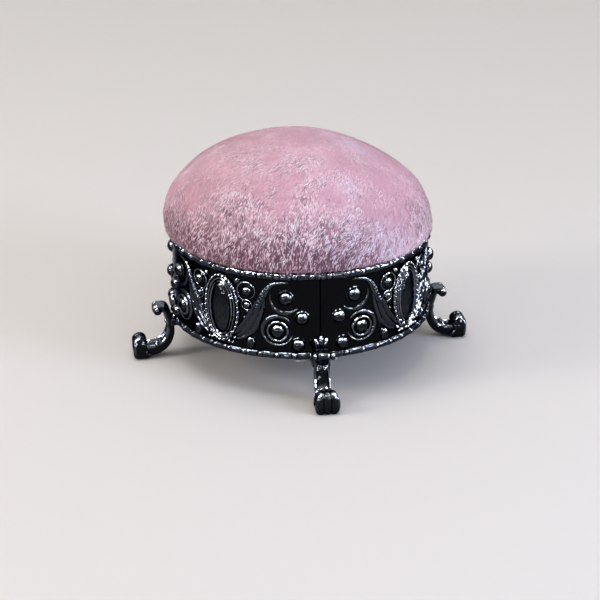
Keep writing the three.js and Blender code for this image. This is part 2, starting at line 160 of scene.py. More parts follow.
class StageSettings(bpy.types.PropertyGroup):
    """Where the camera stands, measured from the photograph's perspective."""

    distance: length("Distance", "Camera to the point it looks at", 641.3)
    aim_height: length("Aim height", "Height of that point", 13.6)
    elevation: angle("Elevation", "Angle above the horizon", 22.72)
    turn: angle("Turn", "Camera's angle to the left of the front foot", 8.86)
    roll: angle("Roll", "Tilt of the horizon", 0.33)
    lens: bpy.props.FloatProperty(name="Lens", description="Focal length in millimetres", default=138.6, unit="CAMERA")


def measures(scene):
    """Every size of the settings in millimetres, by name, with the radii and heights that follow from them."""
    mm = SimpleNamespace()
    for group in (scene.pincushion_band, scene.pincushion_foot, scene.pincushion_cushion):
        for name in type(group).__annotations__:
            value = getattr(group, name)
            setattr(mm, name, value / MM if isinstance(value, float) else value)
    mm.wall, mm.low = mm.wall_radius, mm.foot_height
    mm.inside = mm.wall - mm.wall_thickness
    mm.throat = mm.inside - ROOM
    mm.rim = mm.low + mm.height
    mm.ledge = mm.low + mm.flange_thickness
    mm.bed = mm.ledge + PLATE + ROOM
    # The ornament's field, from the top of the lower moulding to the underside of the upper one
    mm.field_low, mm.field_top = mm.low + 2 * mm.moulding, mm.rim - 0.3 - 2 * mm.moulding
    # Angle from a seam to the end of the lower moulding, which makes way for the stem of a foot
    mm.notch = (mm.stem_width / 2 + ROOM) / mm.wall
    return mm


# Forms: a form is an array of points in millimetres and a list of faces


def lathe(profile, segments, closed=False):
    """Form turned about Z from (radius, height) pairs that start and end on the axis, or close on themselves."""
    turns = np.arange(segments) * 2 * math.pi / segments
    points, rings = [], []
    for radius, z in profile:
        around = turns if radius > 0 else turns[:1]
        rings.append(range(len(points), len(points) + len(around)))
        points.extend(zip(radius * np.cos(around), radius * np.sin(around), [z] * segments))
    faces = []
    for low, high in zip(rings, rings[1:] + rings[:1] if closed else rings[1:]):
        for i in range(segments):
            j = i + 1
            corners = (low[i % len(low)], low[j % len(low)], high[j % len(high)], high[i % len(high)])
            # A point on the axis is named twice, and makes a triangle
            faces.append(tuple(dict.fromkeys(corners)))
    return np.array(points, float), faces


def peg(radius, low, high, segments=24):
    """Upright cylinder on the axis."""
    return lathe([(0, low), (radius, low), (radius, high), (0, high)], segments)


def loft(rings, closed=False):
    """Form through rings of equal length, capped at its ends unless it closes on itself."""
    rings = np.asarray(rings, float)
    count, size = rings.shape[:2]
    faces = []
    for i in range(count if closed else count - 1):
        n = (i + 1) % count
        for k in range(size):
            m = (k + 1) % size
            faces.append((i * size + k, i * size + m, n * size + m, n * size + k))
    if not closed:
        faces.append(tuple(reversed(range(size))))
        faces.append(tuple(range((count - 1) * size, count * size)))
    return rings.reshape(-1, 3), faces


def moved(form, x=0.0, y=0.0, z=0.0):
    return form[0] + np.array([x, y, z]), form[1]


def scaled(form, x=1.0, y=1.0, z=1.0):
    return form[0] * np.array([x, y, z]), form[1]


def turned(form, angle, axis):
    """Form turned about a main axis through the origin."""
    return form[0] @ np.array(Matrix.Rotation(angle, 3, axis)).T, form[1]


def upright(form, x=0.0, y=0.0, z=0.0):
    """Flat form stood up to face +X: its x runs across, its y up and its relief outward."""
    return form[0][:, [2, 0, 1]] + np.array([x, y, z]), form[1]


def write_mesh(name, form, outward=True):
    """Mesh in metres, with its faces turned outward."""
    mesh = bpy.data.meshes.new(name)
    mesh.from_pydata((form[0] * MM).tolist(), [], form[1])
    if outward:
        work = bmesh.new()
        work.from_mesh(mesh)
        bmesh.ops.recalc_face_normals(work, faces=work.faces)
        work.to_mesh(mesh)
        work.free()
    return mesh


def add_object(name, mesh, material, crease=40.0):
    """Object with a material, smooth but for edges sharper than crease degrees."""
    mesh.shade_smooth()
    mesh.set_sharp_from_angle(angle=math.radians(crease))
    mesh.materials.clear()
    mesh.materials.append(material)
    piece = bpy.data.objects.new(name, mesh)
    bpy.context.scene.collection.objects.link(piece)
    return piece


def declare(piece, node=None):
    """Tie a piece to the body, in place of a node of the CAD model if one is given."""
    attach(piece, BODY)
    if node:
        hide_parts(node)


def set_round(mesh, material, name, node, places, first=0.0):
    """Four cast pieces that share a mesh, a quarter turn apart, each in place of its node of the CAD model."""
    for i, place in enumerate(places):
        piece = add_object(f"{name}_{place}", mesh, material)
        piece.rotation_euler.z = (i + first) * QUARTER
        declare(piece, f"{node}_{place}")


def united(name, forms, cuts=()):
    """One closed mesh from overlapping forms, less the forms in cuts."""
    base = bpy.data.objects.new(name, write_mesh(name, forms[0]))
    bpy.context.scene.collection.objects.link(base)
    helpers, groups = [base], []
    for operation, members in (("UNION", forms[1:]), ("DIFFERENCE", cuts)):
        if not members:
            continue
        group = bpy.data.collections.new("work")
        bpy.context.scene.collection.children.link(group)
        groups.append(group)
        for form in members:
            helpers.append(bpy.data.objects.new("work", write_mesh("work", form)))
            group.objects.link(helpers[-1])
        modifier = base.modifiers.new(operation, "BOOLEAN")
        modifier.operation = operation
        modifier.solver = "MANIFOLD"
        modifier.operand_type = "COLLECTION"
        modifier.collection = group
    bpy.context.view_layer.update()
    result = bpy.data.meshes.new_from_object(base.evaluated_get(bpy.context.evaluated_depsgraph_get()))
    result.name = name
    for helper in helpers:
        mesh = helper.data
        bpy.data.objects.remove(helper)
        bpy.data.meshes.remove(mesh)
    for group in groups:
        bpy.data.collections.remove(group)
    if not result.polygons:
        raise RuntimeError(f"{name}: nothing left after joining its forms")
    return result


def catmull(points, count):
    """Points along a smooth curve through the given points."""
    points = np.asarray(points, float)
    out = []
    for step in range(count + 1):
        place = step / count * (len(points) - 1)
        i = min(int(place), len(points) - 2)
        t = place - i
        p0, p1, p2, p3 = (points[min(max(k, 0), len(points) - 1)] for k in (i - 1, i, i + 1, i + 2))
        v0, v1 = (p2 - p0) / 2, (p3 - p1) / 2
        out.append((2 * p1 - 2 * p2 + v0 + v1) * t**3 + (-3 * p1 + 3 * p2 - 2 * v0 - v1) * t**2 + v0 * t + p1)
    return np.array(out)


def sideways(path, closed=False):
    """Unit vectors to the left of a flat path, one for each of its points."""
    padded = np.pad(path, ((1, 1), (0, 0)), "wrap" if closed else "edge")
    along = padded[2:] - padded[:-2]
    return np.stack([-along[:, 1], along[:, 0]], 1) / np.linalg.norm(along, axis=1)[:, None]


def quarter_arc(count):
    """Angles over a quarter turn, without its ends."""
    return np.radians(np.linspace(0, 90, count))[1:-1]


def smooth(low, high, value):
    t = np.clip((value - low) / (high - low), 0, 1)
    return t * t * (3 - 2 * t)


def hills(points, size, shift=0.0):
    """Soft hills and hollows of a size in millimetres, from about -1 to 1 at each point; shift picks other ones."""
    return np.array([noise.noise(Vector(place)) for place in points / size + shift])


# Materials


def plug(node, inputs):
    """Set a node's inputs, by name or in their order. A value may be another node's output."""
    for socket, value in inputs.items() if isinstance(inputs, dict) else enumerate(inputs):
        if isinstance(value, bpy.types.NodeSocket):
            node.id_data.links.new(value, node.inputs[socket])
        else:
            node.inputs[socket].default_value = value


def add(tree, kind, inputs=(), **settings):
    """Add a shader node with its settings and inputs, and return its outputs."""
    node = tree.nodes.new("ShaderNode" + kind)
    for name, value in settings.items():
        setattr(node, name, value)
    plug(node, inputs)
    return node.outputs


def new_material(name, inputs):
    """Material with one Principled shader; returns it with its node tree and shader."""
    material = bpy.data.materials.new(name)
    material.use_nodes = True
    shader = material.node_tree.nodes["Principled BSDF"]
    plug(shader, inputs)
    return material, material.node_tree, shader


def per_mm(size_mm):
    """Texture scale for a pattern that repeats at this size."""
    return 1 / (size_mm * MM)


def plated_casting(finish, mm, name="chrome_plated_zinc_casting", relief=True):
    """Chrome plate over polished cast zinc, with painted light: a painted dark reflection on the plain wall and in the
    ground of the relief, painted shade in recesses, and painted highlights on edges, beads and upper faces.
    """
    # The grey specular tint also dims grazing reflections, as part of the painted dark reflection
    looks = {"Metallic": 1.0, "Roughness": 0.08, "Specular Tint": linear("#9A9DA4")}
    material, tree, shader = new_material(name, looks)
    coordinates = add(tree, "TexCoord")
    place = coordinates["Object"]
    facing = add(tree, "SeparateXYZ", [coordinates["Normal"]])
    spot = add(tree, "SeparateXYZ", [place])
    # Handling leaves faint dull smears about 5 mm across
    smear = add(tree, "TexNoise", {"Vector": place, "Scale": per_mm(5), "Detail": 4.0})["Fac"]
    rough = add(tree, "MapRange", [smear, 0.4, 0.75, 0.03, 0.09])[0]
    # Painted shade darkens grooves and recesses, and painted highlights brighten edges and small beads the most
    cavity = add(tree, "AmbientOcclusion", {"Distance": 1.1 * MM}, samples=8, only_local=True)["AO"]
    painted_recess_shade = add(tree, "MapRange", [cavity, 0.3, 0.8])[0]
    depth = add(tree, "AmbientOcclusion", {"Distance": 0.9 * MM}, samples=8, only_local=True, inside=True)["AO"]
    edge = add(tree, "MapRange", [depth, 0.85, 0.15, 0.0, 0.6])[0]
    if relief:
        # The height above the plain wall sets how far a spot is lifted out of the painted dark reflection of the plain
        # wall and the ground
        flat = add(tree, "VectorMath", [place, (1.0, 1.0, 0.0)], operation="MULTIPLY")[0]
        reach = add(tree, "VectorMath", [flat], operation="LENGTH")["Value"]
        steps = [reach, (mm.wall + 0.06) * MM, (mm.wall + 0.4) * MM]
        raised = add(tree, "MapRange", steps, interpolation_type="SMOOTHSTEP")[0]
        rim = add(tree, "MapRange", [spot["Z"], (mm.rim - 0.75) * MM, (mm.rim - 0.45) * MM])[0]
        outside_painted_dark = add(tree, "Math", [raised, rim], operation="MAXIMUM")[0]
        # The plain wall is smoother than the ornament
        lumpy = add(tree, "MapRange", [outside_painted_dark, 0.0, 1.0, 0.15])[0]
        # Painted reflection by facing: low leaves keep an even tone; on what stands higher, faces that look out a
        # little above level stay darkest, upper faces are lightest and lower faces dim
        slope = add(tree, "Math", [facing["Z"], 0.28], operation="SUBTRACT")[0]
        steep = add(tree, "Math", [slope], operation="ABSOLUTE")[0]
        sides = add(tree, "MapRange", [steep, 0.14, 0.65, 0.1])[0]
        high = add(tree, "MapRange", [reach, (mm.wall + 0.72) * MM, (mm.wall + 0.9) * MM])[0]
        tall = add(tree, "Math", [high, rim], operation="MAXIMUM")[0]
        under = add(tree, "MapRange", [facing["Z"], -0.3, 0.3, 0.35])[0]
        painted_facing_reflection = add(tree, "Math", [sides, under], operation="MULTIPLY")[0]
        painted_facing_light = add(tree, "Mix", {"Factor": tall, "A": 0.55, "B": painted_facing_reflection})[0]
        # Painted highlight on the upper faces of what stands high, and all over the top of the rim
        upper = add(tree, "MapRange", [facing["Z"], 0.4, 0.85])[0]
        upper_side = add(tree, "Math", [upper, tall], operation="MULTIPLY")[0]
        painted_top_highlight = add(tree, "Math", [upper_side, rim], operation="MAXIMUM")[0]
    else:
        # A foot is all ornament; painted shade keeps the sunk middle of its stem's face dark
        tall, lumpy = 0.8, 1.0
        across = add(tree, "Math", [spot["Y"]], operation="ABSOLUTE")[0]
        rib = add(tree, "MapRange", [across, 1.35 * MM, 1.6 * MM, 0.1])[0]
        below = add(tree, "MapRange", [spot["Z"], 4.9 * MM, 4.6 * MM])[0]
        above = add(tree, "MapRange", [spot["Z"], 9.0 * MM, 9.2 * MM])[0]
        beyond = add(tree, "Math", [below, above], operation="MAXIMUM")[0]
        outside_painted_dark = add(tree, "Math", [rib, beyond], operation="MAXIMUM")[0]
        # Painted light: faces that look up, and a little outward, are lighter
        outward = add(tree, "Math", [facing["X"], 0.3, facing["Z"]], operation="MULTIPLY_ADD")[0]
        painted_facing_light = add(tree, "MapRange", [outward, 0.2, 1.0, 0.08])[0]
        # Painted highlight on upward faces
        painted_top_highlight = add(tree, "MapRange", [facing["Z"], 0.45, 1.0, 0.0, 0.7])[0]
    # Cast metal stays lumpy under the plate, which breaks a reflection up into glints
    lumps = add(tree, "TexNoise", {"Vector": place, "Scale": per_mm(1.8), "Detail": 1.0})["Fac"]
    bump = add(tree, "Bump", {"Height": lumps, "Strength": lumpy, "Distance": 0.3 * MM})["Normal"]
    # Random patches about half a millimetre across, on what stands high, stand in for a reflection broken up into
    # glints: painted reflection
    film = add(tree, "TexNoise", {"Vector": place, "Scale": per_mm(0.9), "Detail": 1.0})["Fac"]
    patchy = add(tree, "MapRange", [film, 0.42, 0.56, 0.6])[0]
    painted_glints = add(tree, "Mix", {"Factor": tall, "A": 0.7, "B": patchy})[0]
    open_buffed = add(tree, "Math", [outside_painted_dark, painted_recess_shade], operation="MULTIPLY")[0]
    clear = add(tree, "Math", [open_buffed, painted_glints], operation="MULTIPLY")[0]
    polished = add(tree, "Math", [clear, painted_facing_light], operation="MULTIPLY")[0]
    # Painted highlight, in the edge colour, on edges, small beads and upper faces
    painted_highlight = add(tree, "Math", [edge, painted_top_highlight], operation="MAXIMUM")[0]
    bright = add(tree, "Math", [clear, painted_highlight], operation="MULTIPLY")[0]
    # Painted light: the ground and plating colours paint a dark reflection, and the edge colour paints highlights
    tone = finish.ground
    for amount, tint in ((polished, finish.plating), (bright, finish.edges)):
        tone = add(tree, "Mix", {"Factor": amount, "A": tone, "B": tint}, data_type="RGBA")[2]
    plug(shader, {"Roughness": rough, "Normal": bump, "Base Color": tone})
    return material


def crushed_velvet(finish):
    """Velvet woven with a dense pile and crushed wet: streaks of light and deep pink as the pile lies over."""
    looks = {"Roughness": 0.8, "Specular IOR Level": 0.12}
    sheen = {"Sheen Weight": 0.35, "Sheen Roughness": 0.45, "Sheen Tint": linear("#F6E4EC")}
    material, tree, shader = new_material("crushed_cotton_velvet", looks | sheen)
    place = add(tree, "TexCoord")["Object"]
    # Crushing leaves patches of about a centimetre that lie one way
    pattern = {"Vector": place, "Scale": per_mm(12), "Detail": 3.0, "Roughness": 0.55, "Distortion": 0.5}
    patch = add(tree, "TexNoise", pattern)["Fac"]
    # Single threads are too fine to show, so the grain is drawn at half a millimetre
    pattern = {"Vector": place, "Scale": per_mm(0.5), "Detail": 3.0, "Roughness": 0.7}
    grain = add(tree, "TexNoise", pattern)["Fac"]
    tone = add(tree, "Attribute", attribute_name="tone")["Fac"]
    patch_part = add(tree, "Math", [patch, 0.25, -0.14], operation="MULTIPLY_ADD")[0]
    grain_part = add(tree, "Math", [grain, 0.3, patch_part], operation="MULTIPLY_ADD")[0]
    total = add(tree, "Math", [tone, grain_part], operation="ADD")[0]
    tinted = add(tree, "ValToRGB", [total])["Color"]
    stops = tinted.node.color_ramp.elements
    stops[0].position, stops[0].color = 0.24, finish.velvet_deep
    stops[1].position, stops[1].color = 0.92, finish.velvet_light
    stops.new(0.6).color = finish.velvet_mid
    # Where it was pressed flat it shows the warmer red of its ground, and in patches of painted cool light it is tinted
    # cool
    marks = (("pressed", "MIX", finish.velvet_pressed), ("frosted", "MULTIPLY", finish.velvet_frosted))
    for name, blend, tint in marks:
        amount = add(tree, "Attribute", attribute_name=name)["Fac"]
        factor = add(tree, "Math", [amount, 0.9], operation="MULTIPLY")[0]
        colours = {"Factor": factor, "A": tinted, "B": tint}
        tinted = add(tree, "Mix", colours, data_type="RGBA", blend_type=blend)[2]
    bump = add(tree, "Bump", {"Height": grain, "Strength": 0.5, "Distance": 0.2 * MM})["Normal"]
    plug(shader, {"Base Color": tinted, "Normal": bump})
    return material


def speckled(name, base, size_mm, spread, looks, bump_mm, stretch=(1.0, 1.0, 1.0)):
    """Plain material with a slight mottle of the given size, stretched along its grain."""
    material, tree, shader = new_material(name, looks)
    place = add(tree, "TexCoord")["Object"]
    along = add(tree, "Mapping", {"Vector": place, "Scale": stretch})["Vector"]
    mottle = add(tree, "TexNoise", {"Vector": along, "Scale": per_mm(size_mm), "Detail": 5.0})["Fac"]
    dark, light = ([min(1.0, v * (1 + k)) for v in base[:3]] + [1.0] for k in (-spread, spread))
    tone = add(tree, "Mix", {"Factor": mottle, "A": dark, "B": light}, data_type="RGBA")[2]
    bump = add(tree, "Bump", {"Height": mottle, "Strength": 0.5, "Distance": bump_mm * MM})["Normal"]
    plug(shader, {"Base Color": tone, "Normal": bump})
    return material


def zinc_plated_steel(finish):
    """Steel with a thin bright zinc plate: greyer and duller than chrome, with a grain that is drawn coarse to show."""
    return speckled("zinc_plated_steel", finish.steel, 0.6, 0.12, {"Metallic": 1.0, "Roughness": 0.32}, 0.01)


def birch_plywood(finish):
    """Sanded birch plywood: pale, matt, with a fine straight grain."""
    return speckled("birch_plywood", finish.board, 1.2, 0.15, {"Roughness": 0.75}, 0.03, (0.15, 1.0, 1.0))


def waxed_cotton(finish):
    """Waxed cotton thread: matt with a slight twist."""
    return speckled("waxed_cotton_thread", finish.thread, 0.3, 0.2, {"Roughness": 0.7}, 0.04)


def wool_wadding(finish):
    """Carded wool, packed hard: cream, matt and woolly."""
    return speckled("wool_wadding", finish.wadding, 2.0, 0.08, {"Roughness": 0.95, "Sheen Weight": 0.3}, 0.3)


# Band panels


def bead_moulding(angle, mm):
    """Height of the half-round moulding, as a part of its radius: round beads between plain bars."""
    bead, groove = 0.75, 0.92
    pitch = QUARTER / mm.bead_count
    off = abs((angle / pitch) % 1 - 0.5) * pitch * mm.wall
    if off < bead:
        return 0.5 + 0.58 * math.sqrt(1 - (off / bead) ** 2)
    return 0.5 if off < groove else 0.76


def band_section(angle_from_seam, mm, inset):
    """Closed (radius, height) section of a panel: flange, wall and mouldings, drawn in by inset."""
    wall, low, top = mm.wall - inset, mm.low, mm.rim
    lip = mm.inside - mm.flange_width
    beads = bead_moulding(angle_from_seam, mm)
    section = [(lip + 0.2, low + inset), (lip, low + 0.2), (lip, mm.ledge - 0.2), (lip + 0.2, mm.ledge)]
    section += [(mm.inside, mm.ledge), (mm.inside, top - 0.25), (mm.inside + 0.1, top - inset)]
    section += [(wall - 0.4, top - inset), (wall - 0.15, top - 0.12)]
    half_turn = [(math.cos(t), 1 + math.sin(t)) for t in np.radians(np.linspace(90, -90, 15))]
    section += [(wall + mm.moulding * beads * out, mm.field_top + mm.moulding * up) for out, up in half_turn]
    section += [(wall, z) for z in np.linspace(mm.field_top, mm.field_low, 12)[1:-1]]
    lower = 0.02 if angle_from_seam < mm.notch else beads
    section += [(wall + mm.moulding * lower * out, low + mm.moulding * up) for out, up in half_turn[:-1]]
    return section + [(wall, low + inset)]


def wall_form(mm, steps=360):
    """Plain panel with its mouldings and flange, facing +X."""
    gap, edge = mm.seam_gap / 2 / mm.wall, 0.12 / mm.wall
    near = (gap, mm.notch - 1e-5, mm.notch + 1e-4)
    angles = {*np.linspace(gap + edge, QUARTER - gap - edge, steps + 1).tolist(), *near, *(QUARTER - a for a in near)}
    rings = []
    for angle in sorted(angles):
        from_seam = min(angle, QUARTER - angle)
        inset = 0.1 if from_seam < gap + edge / 2 else 0.0
        turn = angle - QUARTER / 2
        # The ends are stepped, so that only a fine line shows the joint and nothing shows through it
        tongue = math.copysign(gap - 0.04 / mm.wall, turn) if inset else 0.0
        ring = []
        for radius, z in band_section(from_seam, mm, inset):
            spot = turn + (tongue if radius < mm.wall - 0.45 else 0.0)
            ring.append((radius * math.cos(spot), radius * math.sin(spot), z))
        rings.append(ring)
    return loft(rings)


def wrapped(form, mm):
    """Flat relief bent on to the wall: x along the wall, y height, z relief. Faces +X."""
    x, y, z = form[0].T
    return np.stack([(mm.wall + z) * np.cos(x / mm.wall), (mm.wall + z) * np.sin(x / mm.wall), y], 1), form[1]


def dome(x, y, radius, height, collar=0.0, long=1.0):
    """Round boss with an optional collar round its foot."""
    profile = [(0, ROOT), (radius + collar, ROOT)]
    if collar:
        profile += [(radius + collar, 0.12), (radius + 0.5 * collar, 0.22), (radius * 1.02, 0.14)]
    profile += [(radius, 0.05 * height)]
    profile += [(radius * math.cos(t) ** 0.85, height * math.sin(t)) for t in quarter_arc(12)] + [(0, height)]
    segments = 16 if radius < 0.41 else 20 if radius < 0.7 else 32
    return moved(scaled(lathe(profile, segments), 1, long, 1), x, y, 0)


# The back of a raised strip from edge to edge, as (across, rise) pairs: half-round, or fluted by a leaf's veins
HALF_ROUND = [(math.cos(t), math.sin(t)) for t in np.radians(np.linspace(0, 180, 11))]
FLUTED = [(u, (1 - abs(u) ** 6) ** 0.5 * (0.7 + 0.3 * math.cos(3 * math.pi * u))) for u in np.linspace(1, -1, 29)]


def strip(path, width, height, back=HALF_ROUND, closed=False, notches=0):
    """Raised strip along flat points; width and height are (way along, millimetres) pairs."""
    path = np.asarray(path, float)
    rings = []
    for i, (point, across) in enumerate(zip(path, sideways(path, closed))):
        way = i / (len(path) - 1)
        half, rise = np.interp(way, *zip(*width)) / 2, np.interp(way, *zip(*height))
        if notches:
            rise *= 0.93 + 0.07 * math.cos(way * 2 * math.pi * notches)
        shape = [(1, ROOT)] + [(u, rise * v) for u, v in back] + [(-1, ROOT)]
        rings.append([(*(point + across * half * u), z) for u, z in shape])
    return loft(rings, closed)


def arc_path(x, y, radius, start, end, side, count, out=0.0):
    """Points on an arc about (x, y), in degrees; out makes it a spiral that widens by that much."""
    turns = np.radians(np.linspace(start, end, count))
    radii = radius + out * np.linspace(0, 1, count)
    return np.stack([x + side * radii * np.cos(turns), y + radii * np.sin(turns)], 1)


# Relief on one side of the medallion; x is measured from the panel's middle and y is the height.
# Bosses: x, y, radius, rise, width of the collar, and length by width
BOSSES = (
    (18.3, 28.7, 1.95, 1.8, 0.2), (22.6, 23.1, 1.78, 1.65, 0.2), (21.6, 15.55, 1.8, 1.65, 0.2),
    (8.8, 15.25, 1.3, 1.3, 0.12, 1.35), (7.8, 29.8, 1.4, 1.45, 0.2), (7.8, 25.9, 1.05, 1.1, 0.15),
    (7.1, 22.3, 0.5, 0.65), (7.9, 24.1, 0.35, 0.5), (5.0, 32.4, 0.85, 0.95), (6.2, 31.9, 0.4, 0.55),
    (16.2, 19.4, 1.95, 1.65),
)
# Curls: x, y, radius, first and last angle, points, growth of the radius, widths and heights.
# In order: two rings round the lower large boss, a swirl round the upper small boss and a ring round the one
# under it, and a low scroll under the upper large boss
CURLS = (
    (16.2, 19.4, 2.62, 0, 360, 60, 0, [(0, 1.0)], [(0, 0.95)]),
    (16.2, 19.4, 4.05, 40, 342, 70, 0, [(0, 0.3), (0.3, 1.7), (0.6, 1), (1, 0.4)],
     [(0, 0.2), (0.3, 0.8), (0.6, 0.6), (1, 0.3)]),
    (7.8, 29.8, 2.15, -70, 270, 60, 0.8, [(0, 0.3), (0.5, 0.6), (1, 0.35)], [(0, 0.3), (0.5, 0.7), (1, 0.35)]),
    (7.8, 25.9, 1.42, 0, 360, 40, 0, [(0, 0.32)], [(0, 0.45)]),
    (18.3, 28.6, 4.1, 165, 318, 60, 0, [(0, 0.3), (0.6, 1.6), (1, 0.3)], [(0, 0.25), (0.6, 0.5), (1, 0.25)]),
)
# Acanthus leaf beside the medallion, and its rolled edge, which is carried up and over under the rim
LEAF = ((13.0, 30.8), (11.7, 27.6), (10.7, 25.0), (9.6, 22.5), (8.4, 20.2), (6.8, 18.3), (5.2, 16.8), (4.4, 16.3))
LEAF_WIDTH = ((0, 0.8), (0.12, 2.6), (0.32, 4.3), (0.55, 5.3), (0.75, 4.8), (0.9, 2.6), (1, 0.4))
LEAF_HEIGHT = ((0, 0.3), (0.3, 0.66), (0.8, 0.66), (1, 0.3))
ROLL = ((19.0, 32.9), (16.9, 32.9), (14.9, 32.4), (13.5, 31.2), (12.5, 29.6), (11.5, 27.5), (10.6, 25.5), (9.7, 23.9))
ROLL_WIDTH = ((0, 0.4), (0.25, 1.0), (0.6, 2.3), (0.85, 2.2), (1, 0.5))
ROLL_HEIGHT = ((0, 0.2), (0.25, 0.55), (0.6, 1.05), (0.85, 0.95), (1, 0.4))


def side_ornament(side):
    """Bosses, curls and leaf on one side of the medallion."""
    forms = [dome(side * x, *rest) for x, *rest in BOSSES]
    for x, y, radius, start, end, count, out, width, height in CURLS:
        ring = end - start == 360
        path = arc_path(side * x, y, radius, start, end, side, count, out)
        forms.append(strip(path[:-1] if ring else path, width, height, closed=ring))
    leaf, roll = (np.array(points) * (side, 1) for points in (LEAF, ROLL))
    forms.append(strip(catmull(leaf, 64), LEAF_WIDTH, LEAF_HEIGHT, FLUTED))
    forms.append(strip(catmull(roll, 150), ROLL_WIDTH, ROLL_HEIGHT, notches=15))
    return forms


# Section of the medallion's three ridges, as (inward, rise) pairs, of which the BEADED ones are cut into beads
RIDGES = (
    (0, -0.5), (0.02, 0.2), (0.14, 0.55), (0.33, 0.88), (0.52, 1.0), (0.71, 0.88), (0.9, 0.55), (1.0, 0.3),
    (1.15, 0.72), (1.38, 0.98), (1.65, 0.86), (1.87, 0.42), (2.0, 0.75), (2.25, 1.0), (2.5, 0.8), (2.75, -0.5),
)
BEADED = range(2, 7)
# Beads at the medallion's foot: x, y and radius
CLUSTER = (
    (1.0, 14.9, 0.6), (2.1, 16.3, 0.62), (3.5, 17.6, 0.55), (4.4, 16.1, 0.5), (2.7, 14.8, 0.52), (3.7, 14.7, 0.42),
)


def medallion(low, high):
    """Oval cabochon in three ridges, the outermost beaded, with a cluster of beads at its foot."""
    half_width, beads, samples = 5.7, 32, 9
    middle, half_height = (low + high) / 2 + 0.15, (high - low) / 2 - 0.4
    turns = np.linspace(0, 2 * math.pi, 721)
    steps = np.hypot(half_width * np.diff(np.cos(turns)), half_height * np.diff(np.sin(turns)))
    reach = np.concatenate([[0], np.cumsum(steps)])
    even = np.interp(np.arange(beads * samples) / (beads * samples) * reach[-1], reach, turns)
    rings = []
    for i, turn in enumerate(even):
        bead = math.sqrt(max(0.0, 1 - (abs((i % samples) / samples - 0.5) * 2) ** 2))
        ring = []
        for k, (inward, rise) in enumerate(RIDGES):
            height = rise * (0.6 + 0.46 * bead) if k in BEADED else rise
            x, y = (half_width - inward) * math.cos(turn), (half_height - inward) * math.sin(turn)
            ring.append((x, middle + y, height))
        rings.append(ring)
    foot, rise = 0.2, 1.65
    profile = [(0, ROOT), (1, ROOT), (1, foot)]
    profile += [(math.cos(t), foot + rise * math.sin(t) ** 0.9) for t in quarter_arc(14)] + [(0, foot + rise)]
    # The cabochon fits inside the ridges
    cabochon = scaled(lathe(profile, 56), half_width - 2.65, half_height - 2.65, 1)
    forms = [loft(rings, closed=True), moved(cabochon, 0, middle, 0)]
    return forms + [dome(side * x, y, radius, 0.75 + radius) for x, y, radius in CLUSTER for side in (1, -1)]


class PINCUSHION_OT_band_panels(bpy.types.Operator):
    """Make the four panels of the band, with their relief"""

    bl_idname = "pincushion.band_panels"
    bl_label = "Band Panels"

    def execute(self, context):
        mm = measures(context.scene)
        relief = medallion(mm.field_low, mm.field_top) + side_ornament(1) + side_ornament(-1)
        mesh = united("band_panel", [wall_form(mm)] + [wrapped(form, mm) for form in relief])
        material = plated_casting(context.scene.pincushion_finish, mm)
        set_round(mesh, material, "panel", "band_panel", CORNERS, first=0.5)
        return {"FINISHED"}


# Feet, made facing +X

# The stem goes this far into the wall's outside; the knob is out from the wall and up from the band's underside
STEM_IN = 0.3
KNOB_OUT, KNOB_UP = 4.9, 2.6
# Half of the stem's face, from its edge to the middle, and its back, as shares of its half width and thickness
FACE = ((1.0, 0.1), (0.99, 0.6), (0.93, 0.92), (0.84, 1.0), (0.75, 0.9), (0.68, 0.62), (0.62, 0.5), (0.3, 0.46))
REAR = ((-0.97, -0.55), (-0.84, -0.95), (-0.6, -1.0), (0.6, -1.0), (0.84, -0.95), (0.97, -0.55))


def stem_route(mm):
    """Middle line of the C, (radius, height) points from the knob down and out to the toe."""
    axis = mm.wall + STEM_IN + mm.stem_thickness / 2
    knob_x, knob_z = mm.wall + KNOB_OUT, mm.low + KNOB_UP + 0.2 * mm.knob_radius
    bow = mm.wall + mm.reach - mm.toe_radius - axis
    bends = ((0, 0.83), (0.04, 0.57), (0.19, 0.36), (0.45, 0.23), (0.8, 0.19))
    start = [(knob_x, knob_z), (axis + 0.45 * (knob_x - axis), knob_z), (axis + 0.08 * bow, mm.low + 0.78)]
    return start + [(axis + out * bow, up * mm.low) for out, up in bends]


def stem_form(mm):
    """The C of the foot: a ribbon with a sunk face between two rounded edges."""
    path = catmull(stem_route(mm), 110)
    section = [*FACE, (0, 0.45), *((-across, out) for across, out in reversed(FACE)), *REAR]
    rings = []
    for i, (point, normal) in enumerate(zip(path, sideways(path))):
        way = i / (len(path) - 1)
        half = (mm.stem_thickness + 1.3 * way**2) / 2
        waist = mm.stem_width / 2 * (1 - 0.1 * math.sin(math.pi * min(1.0, way * 1.15)))
        ring = []
        for across, out in section:
            x, z = point + normal * half * out
            ring.append((max(x, mm.wall + STEM_IN), across * waist, z))
        rings.append(ring)
    return loft(rings)


def knob_form(radius, width, x, z):
    """Roll across the foot: a barrel with a waist line and a ball at each end."""
    half = width / 2
    body = [(radius, 0), (0.97 * radius, 0.25 * half), (0.9 * radius, 0.48 * half), (0.66 * radius, 0.58 * half)]
    turns = np.radians(np.linspace(150, 0, 9))
    ball = [(0.84 * radius * math.sin(t), 0.83 * half + 0.26 * half * math.cos(t)) for t in turns]
    side = body + ball
    profile = [(r, -across) for r, across in reversed(side[1:])] + side
    return moved(turned(lathe(profile, 40), QUARTER, "X"), x, 0, z)


def volute_forms(x, z, lean):
    """Pair of small curls on the front of the stem."""
    out, curls = 0.92, []
    for side in (1, -1):
        path = arc_path(side * out, 0, 0.34, -120, 330, side, 48, out=0.46)
        curls += [strip(path, [(0, 0.3), (1, 0.5)], [(0, 0.6), (1, 0.45)]), dome(side * out, 0, 0.3, 0.7)]
    return [moved(turned(upright(form), lean, "Y"), x, 0, z) for form in curls]


